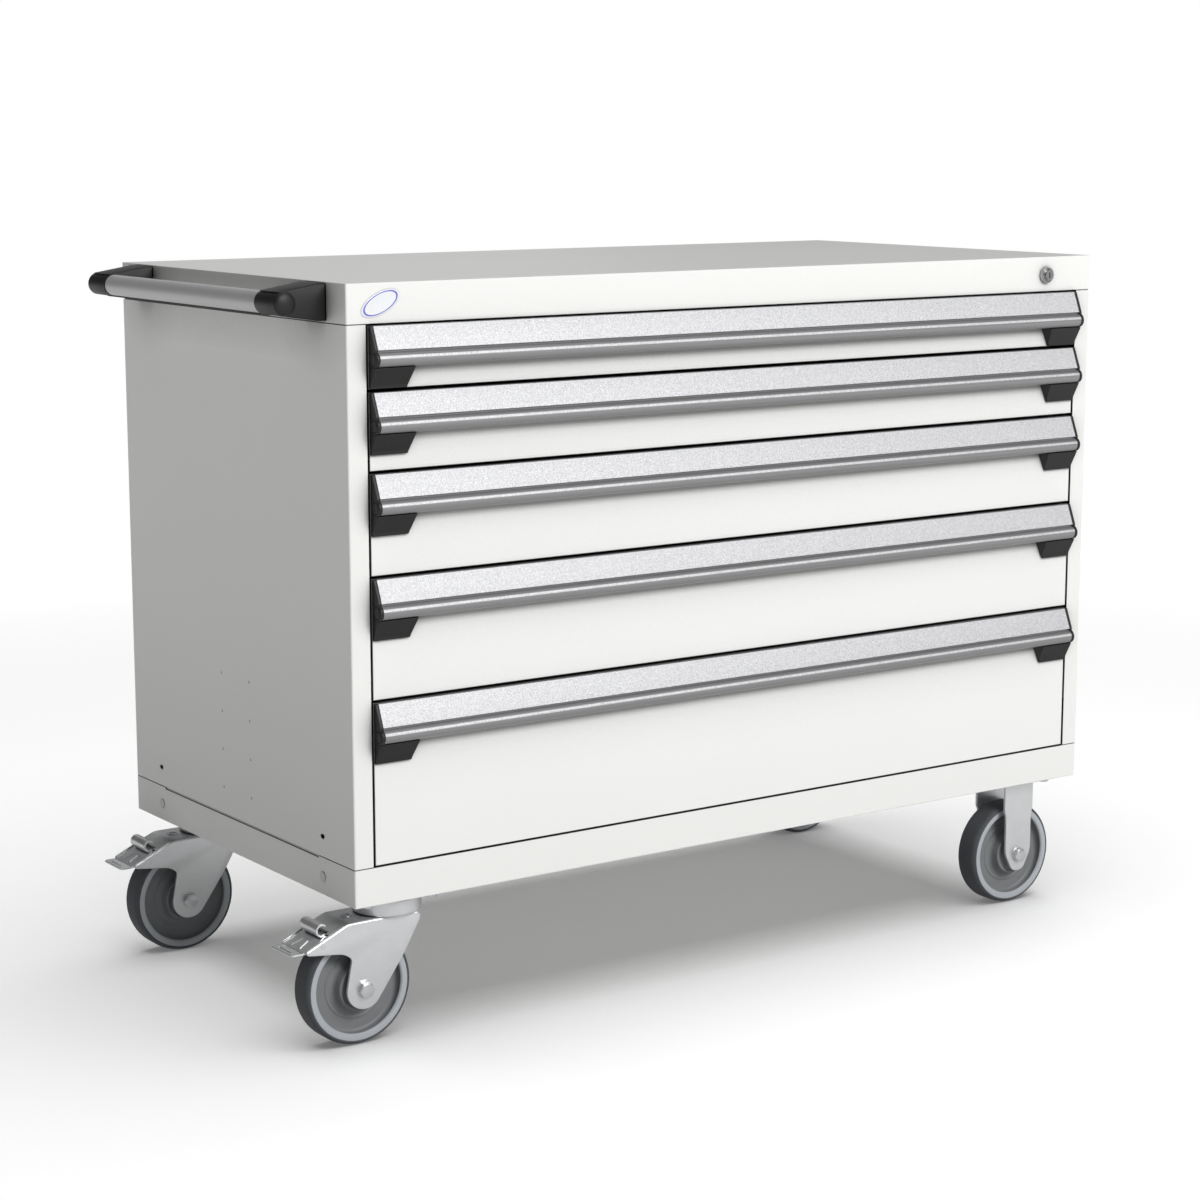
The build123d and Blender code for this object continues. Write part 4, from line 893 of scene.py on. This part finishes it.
brow_heel, crotch, brow_under = (57.4 * mm, 37.6 * mm), (-17.5 * mm, 42.0 * mm), (-27.5 * mm, 50.5 * mm)
crotch_angle = tangent(crotch, 1)
leg_start = crotch_angle - 360 * (crotch_angle > 0)
leg_end = arc((0, 0), leg_round, leg_start, tangent(brow_heel, -1), 30)
brow_corners = [
    brow_heel,
    (back_x, top_up - 10.6 * mm),
    (back_x, top_up),
    (break_x, top_up),
    (tip_x, tip_up),
    (tip_x + 4.8 * mm, tip_up - 4.8 * mm),
    brow_under,
    crotch,
]
brow_radii = [14 * mm, 3 * mm, 5 * mm, 6 * mm, 4 * mm, 2.5 * mm, 9 * mm, 4 * mm]
fork_outline = rounded([*leg_end, *brow_corners], [0] * len(leg_end) + brow_radii, 7)
fold, slope, seam = 3.4 * mm, slope_drop / slope_run, 0.05 * mm
brow_line = top_up + slope * np.minimum(fork_outline[:, 0] - break_x, 0)
fork_rim = np.where(fork_outline[:, 1] > brow_line - 2.5 * mm, fold, 0.6 * mm)
hood_section = flat_strip(fork_half - fold + 0.4 * mm, fork_gauge)
cup_height = plate_low - fork_top - cup_gap
cup_corners = [
    (cup_bore, 0),
    (head_radius, 0),
    (head_radius, cup_height),
    (head_radius - head_wall, cup_height),
    (head_radius - head_wall, head_floor),
    (cup_bore, head_floor),
]
cup_section = rounded(cup_corners, [0, 4 * mm, 1 * mm, 1 * mm, 3 * mm, 0], 6)
hood_stop_up = top_up - (break_x - hood_stop_x) * slope
tab_half = 4.5 * mm
tab_section = rounded(oblong(-tab_half, -fork_gauge, tab_half, 0), 0.4 * mm, 4)
tab_stop_x, tab_lap = -48.0 * mm, 1.0 * mm
tab_path = [
    (tab_stop_x, hood_stop_up - (hood_stop_x - tab_stop_x) * slope),
    (hood_stop_x + tab_lap, hood_stop_up + tab_lap * slope),
]
tab_points, tab_faces = carried(tab_section, tab_path)
tab_aside = fork_half - fork_gauge - tab_half + tab_lap
bend_half = 6.0 * mm
bend = np.linspace(-1, 1, 7) * bend_half
bend_dip = 0.25 * slope * (bend_half - np.abs(bend)) ** 2 / bend_half
bend_up = top_up + slope * np.minimum(bend, 0) - bend_dip
hood_path = [
    (hood_stop_x, hood_stop_up),
    *np.column_stack([break_x + bend, bend_up]),
    (back_x, top_up),
]
hood_points, hood_faces = carried(hood_section, hood_path)
rivet_x = -8.0 * mm
rivet_head = [(0, 0.5), (2.6, 0.5), (3.2, 0.1), (4.6, 0.2), (5.6, 1.3), (6.8, 1.3), (7.6, 0.0)]
rivet_section = mm * np.array([*rivet_head, (7.6, -1.0), (0, -1.0)])
for place in places:
    axle = where[f"{place}_swivel_wheel_spin"]
    shells = side_plates(fork_outline, axle, fork_half, fork_gauge, fork_rim)
    shells.append((hood_points + axle - (0, 0, seam), hood_faces))
    for side in (-1, 1):
        shells.append((tab_points + axle + (0, side * tab_aside, -2 * seam), tab_faces))
    rivet_at = axle + (rivet_x, 0, top_up)
    shells.append(turned(rivet_section, rivet_at, (0, 0, 1), 40, closed=False))
    shells.append(turned(cup_section, (*swivel_at[place][:2], fork_top), (0, 0, 1)))
    fork = piece(f"{place}_fork", f"{place}_swivel", "caster_zinc", bright_zinc, *shells)
    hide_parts(f"{place}_swivel_fork")

# ---------------------------------------------------------------- brake pedals
# A pressed steel rocker on a pin between the fork's brows. Its slotted lip is trodden down to
# lock, and its curled inner end to release. A cross bar below meets the tread as a brake shoe.
pedal_gauge, pedal_half, pedal_gap = 3.0 * mm, 27.0 * mm, 1.5 * mm
pivot_x, pivot_up = -58.0 * mm, 65.0 * mm
curl_radius, curl_half = 8.5 * mm, 21.0 * mm
lip_reach = -100.5 * mm
shoe_at, shoe_radius = (-47.9 * mm, 58.6 * mm), 4.0 * mm
ear_half, ear_sink = 6.0 * mm, 2.0 * mm
pin_radius, pin_proud = 3.0 * mm, 0.5 * mm
slot_half_length, slot_half_width, slot_setback = 15.0 * mm, 2.0 * mm, 10.6 * mm
start_x = pivot_x + curl_radius
start_up = top_up - (break_x - start_x) * slope - pedal_gap
lip_up = tip_up - pedal_gap

strip = flat_strip(pedal_half, pedal_gauge)
curl_strip = flat_strip(curl_half, pedal_gauge)
curl_at = (start_x - curl_radius / 2, start_up + curl_radius - pedal_gauge / 2)
curl_path = arc(curl_at, curl_radius - pedal_gauge, -42, -318, 40)
lip_corners = [(tip_x, pedal_half), (lip_reach, pedal_half), (lip_reach, -pedal_half), (tip_x, -pedal_half)]
lip_outline = rounded(lip_corners, [0, 6 * mm, 6 * mm, 0], 12)
spine_y = lip_outline[:, 1] * (slot_half_length - slot_half_width) / pedal_half
spine = np.column_stack([np.full(len(spine_y), tip_x - slot_setback), spine_y])
outward = lip_outline - spine
outward /= np.linalg.norm(outward, axis=1, keepdims=True)
slot_outline = spine + slot_half_width * outward


def ring_plate(outer, inner, low, high, rim):
    """A flat plate with a hole: four rings, outer and inner, below and above, closed on
    themselves like a flat tyre, each edge eased by a rim."""
    eased = inset(outer, rim)
    outside = [(outer, low + rim), (outer, high - rim), (eased, high)]
    rows = [*outside, (inner, high), (inner, low), (eased, low)]
    loops = np.stack([np.column_stack([ring, np.full(len(ring), level)]) for ring, level in rows])
    return loops.reshape(-1, 3), grid_faces(len(rows), len(outer), True).tolist()


plate_slope = (start_up - lip_up) / (start_x - tip_x)
rib_radius, rib_sink = 1.9 * mm, 0.5 * mm
rib_near, rib_far = (-64.5 * mm, 6.0 * mm), (-81.0 * mm, 11.0 * mm)
ear_top = start_up - curl_radius * slope - ear_sink
ear_corners = [
    (pivot_x - ear_half, ear_top - ear_half * slope),
    (pivot_x - ear_half, pivot_up),
    (shoe_at[0] - shoe_radius, shoe_at[1] - 1 * mm),
    (shoe_at[0] + shoe_radius, shoe_at[1] - 1 * mm),
    (pivot_x + ear_half, pivot_up),
    (pivot_x + ear_half, ear_top + ear_half * slope),
]
ear_outline = rounded(ear_corners, [0.4 * mm, 1 * mm, 3 * mm, 3 * mm, 3 * mm, 0.5 * mm])
lip_shell = ring_plate(lip_outline, slot_outline, lip_up - pedal_gauge, lip_up, 0.8 * mm)
pressed = [
    carried(strip, [(tip_x, lip_up), (start_x, start_up)]),
    carried(curl_strip, curl_path[::-1]),
    lip_shell,
]
for place in places:
    axle = where[f"{place}_swivel_wheel_spin"]
    shells = [(points + axle, faces) for points, faces in pressed]
    for side in (-1, 1):
        near, far = [
            np.array((x, side * y, start_up + (x - start_x) * plate_slope - rib_sink))
            for x, y in (rib_near, rib_far)
        ]
        rib_length = np.linalg.norm(far - near)
        rib_axis = (far - near) / rib_length
        shells.append(post(axle + near, rib_axis, rib_radius, rib_length, 1.2 * mm))
    shells += side_plates(ear_outline, axle, pedal_half - seam, pedal_gauge, 0.4 * mm)
    shoe_start = axle + (shoe_at[0], -pedal_half, shoe_at[1])
    shells.append(post(shoe_start, (0, 1, 0), shoe_radius, 2 * pedal_half))
    pin_half = fork_half + pin_proud
    pin_start = axle + (pivot_x, -pin_half, pivot_up)
    shells.append(post(pin_start, (0, 1, 0), pin_radius, 2 * pin_half))
    pedal = piece(f"{place}_pedal_pressing", f"{place}_pedal", "caster_zinc", bright_zinc, *shells)
    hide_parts(f"{place}_brake_pedal")

# ---------------------------------------------------------------- axles
# Each wheel turns on a bolt through the fork, with a spacer sleeve, a hexagon head on a washer at
# one side and a lock nut with the bolt's end at the other.
axle_flats, axle_head, axle_nut, axle_washer = 18.0 * mm, 7.5 * mm, 6.5 * mm, 1.2 * mm
axle_radius, sleeve_radius = 6.0 * mm, 9.0 * mm


def axle_bolt(at_axle):
    """The head, nut, washers, shank and sleeve of one axle."""
    front, back = at_axle - (0, fork_half, 0), at_axle + (0, fork_half, 0)
    inside = fork_half - fork_gauge
    return [
        hexagon_head(front, (0, -1, 0), axle_flats, axle_head, axle_washer),
        hexagon_head(back, (0, 1, 0), axle_flats, axle_nut, axle_washer),
        post(back, (0, 1, 0), axle_radius, axle_head),
        post(at_axle - (0, inside, 0), (0, 1, 0), sleeve_radius, 2 * inside, 0.3 * mm),
    ]


for place in places:
    shells = axle_bolt(where[f"{place}_swivel_wheel_spin"])
    axle = piece(f"{place}_axle_bolt", f"{place}_swivel", "fastener_zinc", bolt_zinc, *shells)
    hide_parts(f"{place}_swivel_axle")
rigid_bolts = [shell for place in places for shell in axle_bolt(rigid_at[place])]
rigid_axles = piece("rigid_axle_bolts", "cabinet", "fastener_zinc", bolt_zinc, *rigid_bolts)
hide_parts("rigid_axles")

# ---------------------------------------------------------------- wheels
# A moulded grey wheel centre, its web set back between a hub with a bearing ring and a broad rim,
# and a smooth dark tyre of non-marking rubber moulded round it.
tyre_corners = [(69, -17.8), (70.6, -19), (75, -15.2), (75, 15.2), (70.6, 19), (69, 17.8)]
tyre_section = mm * rounded(tyre_corners, [0.3, 1.6, 5.0, 5.0, 1.6, 0.3], 8)
face_corners = [
    (9.05, 22.0),
    (17.2, 22.0),
    (18.2, 20.6),
    (25.5, 20.0),
    (26.5, 21.0),
    (30.0, 21.0),
    (32.0, 9.0),
    (40.0, 6.6),
    (41.0, 7.3),
    (43.0, 7.3),
    (44.0, 6.2),
    (58.5, 5.4),
    (61.2, 8.0),
    (62.6, 17.0),
    (63.6, 18.0),
    (68.2, 18.0),
    (69.0, 17.3),
]
centre_corners = face_corners + [(radius, -along) for radius, along in face_corners[::-1]]
face_radii = [0.3, 0.6, 0.6, 0.8, 0.6, 1.2, 4.0, 1.0, 0.4, 0.4, 1.0, 3.0, 2.5, 0.8, 0.6, 0.5, 0.1]
centre_section = mm * rounded(centre_corners, face_radii + face_radii[::-1], 4)
wheel_plastic = moulded("wheel_plastic", (0.175, 0.182, 0.190), (0.225, 0.233, 0.240), 0.48, 1100)
rim_plastic = moulded("rim_plastic", (0.40, 0.425, 0.45), (0.46, 0.485, 0.51), 0.42, 1100)
rim_face = [(60.4, 15.6), (61.6, 17.6), (63.0, 18.2), (69.4, 18.2)]
rim_corners = [*rim_face, (69.4, 16.0), (69.0, 14.0), (66.0, 12.0)]
rim_section = mm * rounded(rim_corners, [0.5, 0.8, 0.8, 0.5, 0.5, 0.5, 0.5], 4)
rubber, rubber_shader, at = finish("grey_rubber", 0.6, Specular_IOR_Level=0.35)
scuffs = noise(at, 38, 5, 0.65)
rubber_tone = blend(at, scuffs, (0.066, 0.070, 0.079, 1), (0.098, 0.102, 0.112, 1))
at.feed(rubber_shader.inputs["Base Color"], rubber_tone)
at.feed(rubber_shader.inputs["Roughness"], 0.48 + 0.22 * scuffs)
at.feed(rubber_shader.inputs["Normal"], bumps(at, 0.3, 0.08 * mm, noise(at, 700, 3)))
for place in places:
    for kind in ("swivel", "rigid"):
        hub = where[f"{place}_{kind}_wheel_spin"]
        body = f"{place}_{kind}_wheel"
        web = turned(centre_section, hub, sides=128)
        centre = piece(f"{body}_centre", body, "wheel_plastic", wheel_plastic, web)
        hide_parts(body)
        rims = [turned(rim_section, hub, (0, side, 0), 128) for side in (-1, 1)]
        piece(f"{place}_{kind}_rim_rings", body, "wheel_plastic", rim_plastic, *rims)
        tread = turned(tyre_section, hub, sides=144)
        tyre = piece(f"{place}_{kind}_tread", body, "tyre_rubber", rubber, tread)
        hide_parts(f"{place}_{kind}_tyre")
